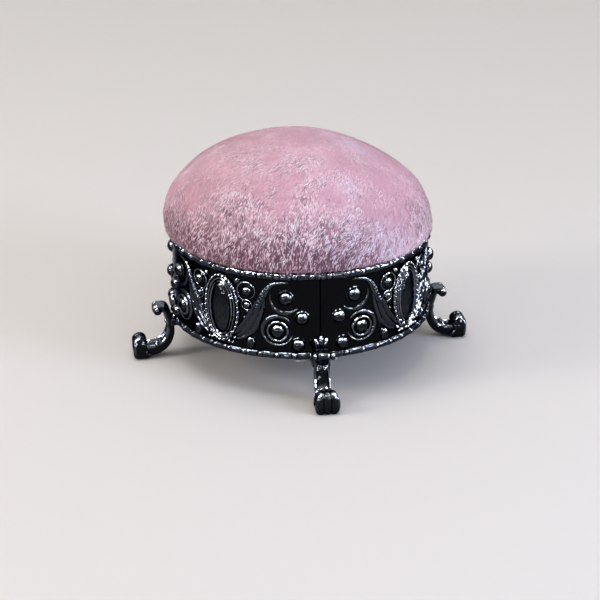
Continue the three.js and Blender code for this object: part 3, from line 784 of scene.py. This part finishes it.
def toe_outline(mm):
    """Side view of the toe, (radius, height) points: a roll that rests on a short sole."""
    tip, radius = mm.wall + mm.reach, mm.toe_radius
    x, z = tip - radius, 2.25 * radius
    sole = ((4.9, 0.75), (4.4, 0.28), (3.8, 0), (1.3, 0), (0.55, 0.2), (0.15, 0.85), (0.02, 2.0), (0, 3.2))
    points = [(tip - back, up) for back, up in sole]
    points += [(x + radius * math.cos(t), z + radius * math.sin(t)) for t in np.radians(np.linspace(0, 205, 18))]
    return points + [(x - 1.75, 3.1), (x - 2.2, 2.5), (x - 2.8, 1.9), (x - 3.1, 1.3)]


def lobe_form(outline, width, offset, swell=0.8, reach=80):
    """One lobe of the toe: the outline at its full size in the middle, drawn in to its sides at reach degrees."""
    outline = np.array(outline)
    inward = sideways(outline, closed=True)
    rings = []
    for t in np.radians(np.linspace(-reach, reach, 17)):
        drawn = outline + inward * swell * (1 - math.cos(t))
        across = offset + width / 2 * math.sin(t) / math.sin(math.radians(reach))
        # The toe is narrower at the sole and over its top
        full = 0.84 + 0.16 * smooth(0, 2.2, drawn[:, 1]) - 0.3 * smooth(3.4, 6.6, drawn[:, 1])
        rings.append([(x, across * k, max(z, 0)) for (x, z), k in zip(drawn, full)])
    return loft(rings)


def leaflet_forms(mm):
    """Three slim leaflets that stand against the wall above the knob."""
    profile = [(0, 0), (1, 0)] + [(math.cos(t), 1.05 * math.sin(t)) for t in quarter_arc(10)] + [(0, 1.05)]
    leaves = []
    for across, lift, lean, size in ((0, 4.9, 0, 1.0), (1.15, 4.5, -0.3, 0.9), (-1.15, 4.5, 0.3, 0.9)):
        leaf = turned(scaled(lathe(profile, 28), 0.8 * size, 1.8 * size, 1), lean, "Z")
        leaves.append(upright(leaf, mm.wall + 0.3, across, mm.low + lift))
    return leaves


def lug_form(mm):
    """Flat lug under the flanges, with a neck out to the stem."""
    middle, half = mm.inside - SCREW_IN, mm.stem_width / 2
    round_end = ((-2.7, 5.9), (-2.1, 6.5), (2.1, 6.5), (2.7, 5.9), (2.7, half + 0.3), (3.0, half))
    side = [(middle + x, y) for x, y in round_end] + [(mm.wall + 1.3, half)]
    outline = side + [(x, -y) for x, y in reversed(side)]
    rings = []
    for z, inset in ((mm.low - PLATE, 0.15), (mm.low - PLATE + 0.15, 0), (mm.low, 0)):
        rings.append([(x + (inset if x < middle else 0), y - math.copysign(inset, y), z) for x, y in outline])
    return loft(rings)


class PINCUSHION_OT_feet(bpy.types.Operator):
    """Make the four scroll feet"""

    bl_idname = "pincushion.feet"
    bl_label = "Scroll Feet"

    def execute(self, context):
        mm = measures(context.scene)
        outline, lobe = toe_outline(mm), mm.toe_width / 3
        forms = [stem_form(mm)] + [lobe_form(outline, lobe + 0.3, i * (lobe - 0.1)) for i in (-1, 0, 1)]
        # The upper roll, and a smaller one where the stem runs out into the toe
        forms.append(knob_form(mm.knob_radius, 5.8, mm.wall + KNOB_OUT, mm.low + KNOB_UP))
        forms.append(knob_form(0.7, 4.7, mm.wall + mm.reach - 6.6, 0.35 * mm.low))
        # One pair of curls under the knob and one above the toe
        forms += volute_forms(mm.wall + 2.2, mm.low - 1.6, 0.02) + volute_forms(mm.wall + 4.3, 3.5, -0.85)
        forms += leaflet_forms(mm) + [lug_form(mm)]
        hole = peg(TAPPED, mm.low - 3, mm.low + 1)
        holes = [moved(hole, mm.inside - SCREW_IN, across) for across in (SCREW_ASIDE, -SCREW_ASIDE)]
        mesh = united("foot", forms, holes)
        material = plated_casting(context.scene.pincushion_finish, mm, "buffed_chrome_plated_foot", relief=False)
        set_round(mesh, material, "scroll_foot", "foot", SIDES)
        return {"FINISHED"}


# Fasteners and base plate


def slotted_screw(name, shank, head, depth, seat, tip):
    """Mesh of a slotted pan-head screw that points up; its head hangs below the height seat."""
    arc = np.radians(np.linspace(0, 80, 7))[1:]
    profile = [(0, seat - depth), (0.7 * head, seat - depth)]
    profile += [(head * (0.72 + 0.28 * math.sin(t)), seat - depth + 0.45 * depth * (1 - math.sin(t))) for t in arc]
    profile += [(head, seat), (shank, seat)]
    pitch, z = 0.35, seat + 0.3
    while z < tip - 0.6:
        profile += [(shank, z), (0.82 * shank, z + pitch / 2)]
        z += pitch
    profile += [(shank, tip - 0.4), (0.5 * shank, tip), (0, tip)]
    slot = loft([[(x, y, z) for y, z in ((-0.25, -1), (0.25, -1), (0.25, 0.4), (-0.25, 0.4))] for x in (-4, 4)])
    return united(name, [lathe(profile, 36)], [moved(slot, z=seat - depth)])


class PINCUSHION_OT_fasteners(bpy.types.Operator):
    """Make the screws, the washer and the base plate"""

    bl_idname = "pincushion.fasteners"
    bl_label = "Fasteners and Base Plate"

    def execute(self, context):
        mm = measures(context.scene)
        steel = zinc_plated_steel(context.scene.pincushion_finish)
        foot_screw = slotted_screw("foot_screw", 0.75, 1.6, 1.0, mm.low - PLATE, mm.ledge + 1.7)
        for place in (f"{side}_{mark}" for side in SIDES for mark in "ab"):
            low_corner, high_corner = (Vector(corner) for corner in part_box(f"foot_screw_{place}"))
            middle = (low_corner + high_corner) / 2
            piece = add_object(f"pan_screw_{place}", foot_screw, steel)
            piece.location = (round(middle.x, 4), round(middle.y, 4), 0)
            declare(piece, f"foot_screw_{place}")
        bore, washer = 1.5, 4.0
        low, edge, top = mm.ledge, mm.throat, mm.ledge + PLATE
        seat = low - 0.5
        ring = [(bore, seat), (washer - 0.15, seat), (washer, seat + 0.12), (washer, low), (bore, low)]
        disc = [(0, low), (edge - 0.2, low), (edge, low + 0.2), (edge, top - 0.2), (edge - 0.2, top), (0, top)]
        holes = [peg(bore, low - 1, top + 1, 28)]
        for i in range(4):
            for across in (SCREW_ASIDE, -SCREW_ASIDE):
                hole = moved(peg(TAPPED, low - 1, top + 1), mm.inside - SCREW_IN, across)
                holes.append(turned(hole, i * QUARTER, "Z"))
        for name, node, mesh in (
            ("centre_screw", "cushion_screw", slotted_screw("cushion_screw", 1.2, 2.8, 1.5, seat, low + 6.1)),
            ("centre_washer", "cushion_washer", write_mesh("washer", lathe(ring, 48, closed=True))),
            ("base_disc", "base_plate", united("base_disc", [lathe(disc, 128)], holes)),
        ):
            declare(add_object(name, mesh, steel), node)
        return {"FINISHED"}


# Cushion


def crown_profile(mm, inset, steps=48):
    """Side and crown of the cushion from inside the band to its top, set in by inset."""
    throat, swell = mm.throat - inset, mm.swell - inset
    start, height = mm.rim + 0.12 + inset, mm.rim + mm.roll
    # The side stands almost straight up from the rim that it rests on, and the top is flatter than an ellipse's
    steep, flat = 0.2, 2 / 1.52
    profile = [(throat, start)]
    for t in np.radians([2, 5, 9, 14, 20, 28, 36, 45, 54, 63, 72, 81]):
        out, up = math.sin(t) ** steep, 1 - math.cos(t)
        profile.append((throat + (swell - throat) * out, start + (height - start) * up))
    for t in np.linspace(0, QUARTER, steps + 1)[:-1]:
        profile.append((swell * math.cos(t), height + (mm.crown - inset) * math.sin(t) ** flat))
    return profile + [(0, height + (mm.crown - inset))]


# Millimetres that the cushion leans to the left and back: all that is above the rim, and more towards the top
BELLY_SHIFT, TOP_SHIFT = (-0.4, 0.2, 0), (-2.7, 2.6, 0)


def leaned(points, mm):
    """Points of the cushion, leaned to the left and back as it rises above the rim."""
    swell = smooth(mm.rim + 0.3, mm.rim + 1.5, points[:, 2])
    rise = np.clip((points[:, 2] - mm.rim - mm.roll) / mm.crown, 0, None) ** 1.15
    return points + (np.outer(swell, BELLY_SHIFT) + np.outer(rise, TOP_SHIFT))


def cover_form(mm, segments=192, gather=11.0):
    """The velvet as a shell: gathered under the board to the radius gather, up inside the band and over the crown."""
    throat, bed, thick = mm.throat, mm.bed, mm.cover
    outer = [(gather, bed + 0.2), (gather + 0.2, bed)]
    outer += [(throat - 1.5, bed), (throat - 0.45, bed + 0.45), (throat, bed + 1.5)]
    inner = [(gather, bed + thick), (throat - 1.5, bed + thick), (throat - thick - 0.2, bed + 1.2 * thick)]
    inner += [(throat - thick, bed + 1.5 + thick)]
    crown = crown_profile(mm, 0)
    profile = list(reversed(inner + crown_profile(mm, thick, 24))) + outer + crown
    points, faces = lathe(profile, segments)
    points = leaned(points, mm)
    above = points[:, 2] > mm.rim + 1
    # Wadding under the velvet leaves soft hills about two centimetres wide
    push = 0.25 * hills(points[above], 17) + 0.12 * hills(points[above], 6, (5, 0, 0))
    x, y, z = points[above].T
    radial = np.hypot(x, y) + 1e-9
    points[above] += push[:, None] * np.stack([0.5 * x / radial, 0.5 * y / radial, np.full(len(z), 0.8)], 1)
    count = (len(crown) - 1) * segments + 1
    points[-count:] = filled_out(points, faces, count, mm.rim + 1.5)
    return points, faces


def filled_out(points, faces, crown, hem_height, reach=0.6, pressure=8.0, steps=20):
    """The last points of a form, as many as crown, swelled like cloth over wadding by at most reach millimetres."""
    first = len(points) - crown
    start = points[first:]
    # The cloth solver suits pieces of about half a metre, so the crown is simulated eight times its size
    size = 8 * MM
    sheet = bpy.data.meshes.new("sheet")
    crown_faces = [tuple(i - first for i in face) for face in faces if min(face) >= first]
    sheet.from_pydata((start * size).tolist(), [], crown_faces)
    piece = bpy.data.objects.new("sheet", sheet)
    scene = bpy.context.scene
    scene.collection.objects.link(piece)
    # The velvet is held where it goes down into the band
    hem = piece.vertex_groups.new(name="hem")
    hem.add(np.nonzero(start[:, 2] < hem_height)[0].tolist(), 1.0, "REPLACE")
    cloth = piece.modifiers.new("cloth", "CLOTH").settings
    cloth.vertex_group_mass = hem.name
    cloth.use_pressure = True
    cloth.uniform_pressure_force = pressure
    cloth.effector_weights.gravity = 0
    for step in range(steps):
        scene.frame_set(step + 1)
    swelled = piece.evaluated_get(bpy.context.evaluated_depsgraph_get()).data
    end = np.array([vertex.co for vertex in swelled.vertices]) / size
    scene.frame_set(1)
    bpy.data.objects.remove(piece)
    bpy.data.meshes.remove(sheet)
    move = end - start
    far = np.linalg.norm(move, axis=1, keepdims=True)
    if not np.isfinite(far).all():
        raise RuntimeError("velvet_cover: the cloth simulation failed")
    return start + move * np.minimum(1, reach / np.maximum(far, 1e-9))


# Marks on the velvet, as centres and radii in millimetres: where crushing ruffled the pile up or pressed it flat so
# that it shows its ground, and patches of painted cool light, most of them on the right
RUFFLED = (
    (-14.2, -7.0, 58.6, 3.0), (-13.3, -11.3, 57.7, 3.0), (-9.2, -6.2, 59.7, 2.5), (-3.5, -10.9, 59.0, 3.2),
    (-6.5, -14.7, 57.7, 3.4), (-1.5, -15.3, 57.6, 2.6), (3.0, -19.7, 55.5, 3.0), (0.0, -21.0, 55.1, 3.0),
    (9.1, -19.4, 54.5, 3.4), (10.8, -21.9, 52.8, 3.0), (7.1, -16.7, 56.2, 2.4), (-3.4, -25.6, 52.5, 4.0),
    (-10.8, -21.9, 53.8, 2.4), (-13.7, -24.9, 51.2, 2.6), (6.7, -33.2, 44.9, 4.0), (1.7, -31.9, 47.3, 4.0),
    (-4.8, -31.3, 47.8, 4.0), (-18.6, -21.8, 51.4, 5.0), (-7.6, -33.6, 44.7, 5.0), (13.8, -8.0, 57.0, 2.5),
    (-17.6, -1.7, 58.4, 3.0), (1.1, -11.1, 58.8, 3.0),
)
PRESSED = (
    (0.6, 1.5, 60.8, 4.5), (-8.6, -8.9, 59.2, 3.0), (-7.2, -19.0, 55.9, 2.3), (-6.8, -21.6, 54.6, 2.4),
    (-8.0, -24.1, 53.0, 2.8), (-8.8, -26.3, 51.4, 2.5), (-13.3, -20.4, 54.0, 2.8), (4.5, -24.5, 52.7, 3.4),
    (20.9, -13.8, 52.3, 5.0), (15.3, -25.1, 49.2, 3.6), (-20.9, 13.7, 55.7, 5.0), (-29.6, -10.3, 50.0, 3.2),
    (10.5, -11.3, 57.2, 4.0), (-3.0, -18.2, 56.5, 2.0), (25.2, 1.0, 52.6, 5.0), (23.2, -23.3, 45.8, 4.5),
)
COOL_PAINTED_LIGHT = (
    (14.2, 1.6, 58.0, 5.0), (17.5, -31.4, 40.9, 7.0), (23.1, -27.5, 41.1, 6.0), (9.1, -21.4, 53.6, 3.0),
    (10.8, -32.5, 44.4, 6.0), (7.0, -34.0, 40.0, 6.0), (-27.3, 12.0, 52.3, 6.0),
)


def near_marks(points, spots, ragged):
    """From 0 to 1, how near each point lies to one of the marks, with ragged edges."""
    nearest = np.zeros(len(points))
    for x, y, z, radius in spots:
        far = np.linalg.norm(points - (x, y, z), axis=1) / radius
        nearest = np.maximum(nearest, np.exp(-(np.clip(far + ragged, 0, None) ** 2)))
    return nearest


def pile_marks(points):
    """How ruffled and pressed the velvet is at each point, and how much painted cool light it gets; the back has
    scattered marks like the front's.
    """
    ragged = 1.7 * hills(points, 1.4, (0, 0, 2))
    patch = hills(points, 4.5, (0, 0, 4))
    behind = smooth(-4, 8, points[:, 1])
    ruffled = np.maximum(near_marks(points, RUFFLED, ragged), 1.2 * np.clip(patch - 0.05, 0, 0.4) * behind)
    pressed = np.maximum(near_marks(points, PRESSED, ragged), 2.5 * np.clip(-patch - 0.05, 0, 0.4) * behind)
    return ruffled, pressed * (1 - 0.4 * ruffled), near_marks(points, COOL_PAINTED_LIGHT, ragged)


def pile_tone(points, mm, spread, ruffled, pressed, frosted):
    """Tone of the pile from 0, deep, to 1, light; spread, about -1 to 1, is how far each point strays from its mean."""
    x, y = points[:, :2].T
    above = points[:, 2] - mm.rim
    # The pile stands open most low on the front, and where it was ruffled
    front = 0.35 + 0.65 * smooth(-6, 24, -y)
    still = 1 - 0.7 * smooth(14, 26, x) * smooth(6, 11, above)
    standing = (0.14 + 0.7 * (1 - smooth(4, 25, above)) * front * still) * (1 - 0.6 * pressed)
    contrast = np.maximum(standing, 1.35 * ruffled)
    # Painted light and shade: low down near the rim the pile is darkened, most on the front, while the right side,
    # where light falls, is lightened right down to the rim
    painted_light_side = 1 - 1.5 * smooth(2, 26, x)
    shade = 0.36 * (1 - smooth(1, 10, above)) * (0.7 - 0.3 * y / 37) * painted_light_side
    # On the crown the pile lies flat, and its lighter flecks show the most
    depth = np.maximum(0.3 + 0.7 * (1 - smooth(8, 22, above)), 0.36 * ruffled)
    # Painted cool light lightens the pile in its patches
    base = 0.42 + 0.03 * (1 - smooth(3, 18, above)) + 0.06 * ruffled - 0.07 * pressed + 0.15 * frosted
    return base - shade + 0.5 * contrast * np.where(spread < 0, spread * depth, spread)


def unit(vectors):
    return vectors / np.linalg.norm(vectors, axis=1)[:, None]


def pile_form(mm, mesh, seed=7):
    """Tufts of crushed pile, thin closed spikes that lie over: the form, and each point's root, spread and normal."""
    rng = np.random.default_rng(seed)
    count = mm.tufts
    mesh.calc_loop_triangles()
    corners = np.array([[mesh.vertices[i].co for i in t.vertices] for t in mesh.loop_triangles]) / MM
    centre = corners.mean(1)
    cross = np.cross(corners[:, 1] - corners[:, 0], corners[:, 2] - corners[:, 0])
    area = np.linalg.norm(cross, axis=1) / 2
    normal = cross / (2 * area[:, None] + 1e-12)
    middle = np.array([-1.5, 1.0, mm.rim - 6])
    outward = ((centre - middle) * normal).sum(1) > 0
    weight = area * (outward & (centre[:, 2] > mm.rim + 0.2))
    chosen = rng.choice(len(area), count, p=weight / weight.sum())
    share = rng.dirichlet((1, 1, 1), count)
    root = (corners[chosen] * share[:, :, None]).sum(1)
    up = normal[chosen]
    # The pile is combed down and to the left, and crushing turned it aside in patches
    comb = (root - middle) + np.array([-16.0, -16.0, -14.0])
    comb[:, 2] -= 30 * (1 - smooth(mm.rim + 1, mm.rim + 9, root[:, 2]))
    comb = unit(comb - (comb * up).sum(1)[:, None] * up)
    swing = 0.7 * hills(root, 12) + 0.45 * hills(root, 3, 9)
    swing += rng.normal(0, 0.28, count)
    lie = comb * np.cos(swing)[:, None] + np.cross(up, comb) * np.sin(swing)[:, None]
    across = np.cross(up, lie)
    # It lies flat on the crown and stands more open low down
    standing = 1 - smooth(mm.rim + 3, mm.rim + 18, root[:, 2])
    rise = (rng.uniform(0.04, 0.14, count) + rng.uniform(0.0, 0.14, count) * standing)[:, None]
    size = mm.pile * rng.uniform(0.65, 1.3, count)[:, None]
    wide = rng.uniform(0.2, 0.36, count)[:, None]
    low = root - up * 0.04
    tip = low + (lie * np.sqrt(1 - rise**2) + up * rise) * size
    back = low + up * wide * 0.25 - lie * wide * 0.3
    points = np.stack([low - across * wide / 2, low + across * wide / 2, back, tip], 1)
    faces = []
    for a in range(0, 4 * count, 4):
        faces += [(a, a + 2, a + 1), (a, a + 1, a + 3), (a + 1, a + 2, a + 3), (a + 2, a, a + 3)]
    # Tufts next to each other catch the light together, in clumps of about two millimetres
    clump = hills(root, 1.7) + 0.6 * hills(root, 5)
    spread = np.clip(0.9 * clump + rng.normal(0.05, 0.9, count), -1.5, 1.6)
    lean = unit(up + 0.3 * across * rng.normal(0, 1, count)[:, None])
    return (points.reshape(-1, 3), faces), *(np.repeat(values, 4, axis=0) for values in (root, spread, lean))


def paint_pile(mesh, mm, points, spread):
    """Store the tone of the pile, how pressed it is and how much painted cool light it gets, at each of a mesh's
    vertices.
    """
    ruffled, pressed, frosted = pile_marks(points)
    tone = pile_tone(points, mm, spread, ruffled, pressed, frosted)
    for name, values in (("tone", tone), ("pressed", pressed), ("frosted", frosted)):
        layer = mesh.attributes.new(name, "FLOAT", "POINT")
        layer.data.foreach_set("value", values.astype(np.float32))


class PINCUSHION_OT_cushion(bpy.types.Operator):
    """Make the velvet cover, its pile and the stuffing"""

    bl_idname = "pincushion.cushion"
    bl_label = "Cushion"

    def execute(self, context):
        mm, finish = measures(context.scene), context.scene.pincushion_finish
        velvet = crushed_velvet(finish)
        mesh = write_mesh("cover", cover_form(mm))
        spots = np.array([vertex.co for vertex in mesh.vertices]) / MM
        # The cloth between the tufts takes the dark end of the tone: painted shade down between the tufts, strongest
        # low down
        between_tufts_painted_shade = -0.6
        paint_pile(mesh, mm, spots, np.full(len(spots), between_tufts_painted_shade))
        cover = add_object("velvet_dome", mesh, velvet)
        declare(cover, "velvet_cover")
        form, roots, spread, normals = pile_form(mm, mesh)
        pile_mesh = write_mesh("pile", form, outward=False)
        paint_pile(pile_mesh, mm, roots, spread)
        pile = add_object("velvet_pile", pile_mesh, velvet, crease=180)
        # Pile takes the light as the cloth under it does
        pile_mesh.normals_split_custom_set_from_vertices(normals.tolist())
        declare(pile)
        inset, board_top = mm.cover + ROOM, mm.bed + 4.4
        profile = [(0, board_top), (mm.throat - inset, board_top)] + crown_profile(mm, inset, 20)
        points, faces = lathe(profile, 96)
        wadding = write_mesh("wadding", (leaned(points, mm), faces))
        stuffing = add_object("wadding_dome", wadding, wool_wadding(finish))
        declare(stuffing, "cushion_stuffing")
        return {"FINISHED"}


class PINCUSHION_OT_inner_parts(bpy.types.Operator):
    """Give the board and the thread of the CAD model their finishes"""

    bl_idname = "pincushion.inner_parts"
    bl_label = "Inner Parts"

    def execute(self, context):
        finish = context.scene.pincushion_finish
        for node, material in (("cushion_board", birch_plywood(finish)), ("gathering_thread", waxed_cotton(finish))):
            for slot in bpy.data.objects[node].material_slots:
                slot.material = material
        return {"FINISHED"}


# Stage

# Metres: from the middle of the floor to its edges, and the point that the lamps are turned to
FLOOR_REACH = 2.0
LIT_POINT = Vector((0, 0, 0.03))
# Lamps as name, place, size, power and tint, in metres and watts
LAMPS = (
    ("key_softbox", (-0.2, 0.1, 1.4), 0.9, 7.3, "#FFFBF8"),
    ("front_softbox", (0.1, -0.5, 0.5), 0.2, 0.2, "#F4F7FF"),
    ("right_softbox", (0.48, -0.42, 0.24), 0.24, 2.4, "#D9E2FF"),
    ("left_softbox", (-0.6, -0.1, 0.34), 0.2, 1.35, "#FFF4EE"),
)
# Softboxes round the front that only polished metal shows, as places and sizes in metres
REFLECTORS = (
    ((-0.2, -0.28, 0.55), (0.42, 0.26)),
    ((-0.44, -0.16, 0.44), (0.22, 0.3)),
    ((0.37, -0.14, 0.51), (0.42, 0.28)),
    ((0.4, -0.4, 0.3), (0.12, 0.2)),
    ((0.62, -0.12, 0.18), (0.1, 0.2)),
    ((0.6, -0.26, 0.12), (0.24, 0.18)),
    ((-0.56, -0.34, 0.16), (0.1, 0.22)),
    ((-0.22, -0.62, 0.22), (0.05, 0.12)),
    ((-0.34, -0.6, 0.05), (0.24, 0.06)),
    ((0.26, -0.63, 0.06), (0.18, 0.06)),
)
# Their watts per square metre, and the share of the width and height that each of their four panes has
REFLECTOR_GLOW = 520.0
PANE = 0.24


def add_camera(scene):
    """Camera at the photograph's angle."""
    stage = scene.pincushion_stage
    flat = Vector((math.sin(stage.turn), math.cos(stage.turn), 0))
    forward = flat * math.cos(stage.elevation) - Vector((0, 0, math.sin(stage.elevation)))
    right = forward.cross(Vector((0, 0, 1))).normalized()
    up = right.cross(forward)
    across = right * math.cos(stage.roll) - up * math.sin(stage.roll)
    above = right * math.sin(stage.roll) + up * math.cos(stage.roll)
    place = Vector((0, 0, stage.aim_height)) - forward * stage.distance
    camera = bpy.data.objects.new("camera", bpy.data.cameras.new("camera"))
    scene.collection.objects.link(camera)
    turn = Matrix((across, above, -forward)).transposed().to_4x4()
    camera.matrix_world = Matrix.Translation(place) @ turn
    camera.data.lens = stage.lens
    scene.camera = camera


def add_lamp(name, place, size, power, tint="#FFFFFF"):
    """Soft rectangular lamp, turned to the object."""
    data = bpy.data.lights.new(name, "AREA")
    data.shape = "RECTANGLE"
    data.size, data.size_y = size
    data.energy = power
    data.color = linear(tint)[:3]
    lamp = bpy.data.objects.new(name, data)
    lamp.location = place
    lamp.rotation_euler = (LIT_POINT - Vector(place)).to_track_quat("-Z", "Y").to_euler()
    bpy.context.scene.collection.objects.link(lamp)
    return lamp


class PINCUSHION_OT_stage(bpy.types.Operator):
    """Place the camera, and make the floor, the surroundings and the lamps"""

    bl_idname = "pincushion.stage"
    bl_label = "Stage"

    def execute(self, context):
        scene = context.scene
        add_camera(scene)
        corners = np.array([(-1, -1, 0), (1, -1, 0), (1, 1, 0), (-1, 1, 0)]) * FLOOR_REACH / MM
        # Board rolled with matt paint: pale and even, with a soft shadow and no shine
        looks = {"Roughness": 0.9, "Specular IOR Level": 0.0, "Base Color": scene.pincushion_finish.floor}
        matt = new_material("matt_painted_board", looks)[0]
        add_object("floor", write_mesh("floor", (corners, [(0, 1, 2, 3)]), outward=False), matt)
        scene.world = bpy.data.worlds.new("studio")
        scene.world.use_nodes = True
        tree = scene.world.node_tree
        # Camera, mirror and glass rays see the plain backdrop; the light that it gives is set apart
        path = add(tree, "LightPath")
        seen = path["Is Camera Ray"]
        for ray in ("Is Glossy Ray", "Is Transmission Ray"):
            seen = add(tree, "Math", [seen, path[ray]], operation="MAXIMUM")[0]
        strength = add(tree, "MapRange", [seen, 0.0, 1.0, 0.5, 1.0])[0]
        plug(tree.nodes["Background"], {"Color": linear("#E4E2E0"), "Strength": strength})
        for name, place, size, power, tint in LAMPS:
            add_lamp(name, place, (size, size), power, tint)
        for i, (place, (width, height)) in enumerate(REFLECTORS):
            for mark, (across, upward) in zip("abcd", ((-1, -1), (1, -1), (-1, 1), (1, 1))):
                pane = (PANE * width, PANE * height)
                reflector = add_lamp(f"reflector_{i + 1}{mark}", place, pane, REFLECTOR_GLOW * pane[0] * pane[1])
                aside = Vector((across * width / 4, upward * height / 4, 0))
                reflector.location += reflector.rotation_euler.to_matrix() @ aside
                reflector.visible_diffuse = False
                reflector.visible_camera = False
        scene.view_settings.view_transform = "Standard"
        return {"FINISHED"}


# Panel and registration


STEPS = (
    PINCUSHION_OT_stage,
    PINCUSHION_OT_band_panels,
    PINCUSHION_OT_feet,
    PINCUSHION_OT_fasteners,
    PINCUSHION_OT_cushion,
    PINCUSHION_OT_inner_parts,
)
GROUPS = {
    "pincushion_band": BandSettings,
    "pincushion_foot": FootSettings,
    "pincushion_cushion": CushionSettings,
    "pincushion_finish": FinishSettings,
    "pincushion_stage": StageSettings,
}


class PINCUSHION_PT_parts(bpy.types.Panel):
    """Lists the steps that make the pincushion"""

    bl_idname = "PINCUSHION_PT_parts"
    bl_label = "Footed Pincushion"
    bl_space_type = "VIEW_3D"
    bl_region_type = "UI"
    bl_category = "Pincushion"

    def draw(self, context):
        for step in STEPS:
            self.layout.operator(step.bl_idname)
        for name, group in GROUPS.items():
            box = self.layout.box()
            box.label(text=name.replace("pincushion_", "").title())
            for setting in group.__annotations__:
                box.prop(getattr(context.scene, name), setting)


CLASSES = (*GROUPS.values(), *STEPS, PINCUSHION_PT_parts)


def register():
    for item in CLASSES:
        bpy.utils.register_class(item)
    for name, group in GROUPS.items():
        setattr(bpy.types.Scene, name, bpy.props.PointerProperty(type=group))


def unregister():
    for name in GROUPS:
        delattr(bpy.types.Scene, name)
    for item in reversed(CLASSES):
        bpy.utils.unregister_class(item)


def main():
    register()
    bpy.ops.pincushion.stage()
    bpy.ops.pincushion.band_panels()
    bpy.ops.pincushion.feet()
    bpy.ops.pincushion.fasteners()
    bpy.ops.pincushion.cushion()
    bpy.ops.pincushion.inner_parts()


if __name__ == "__main__":
    main()
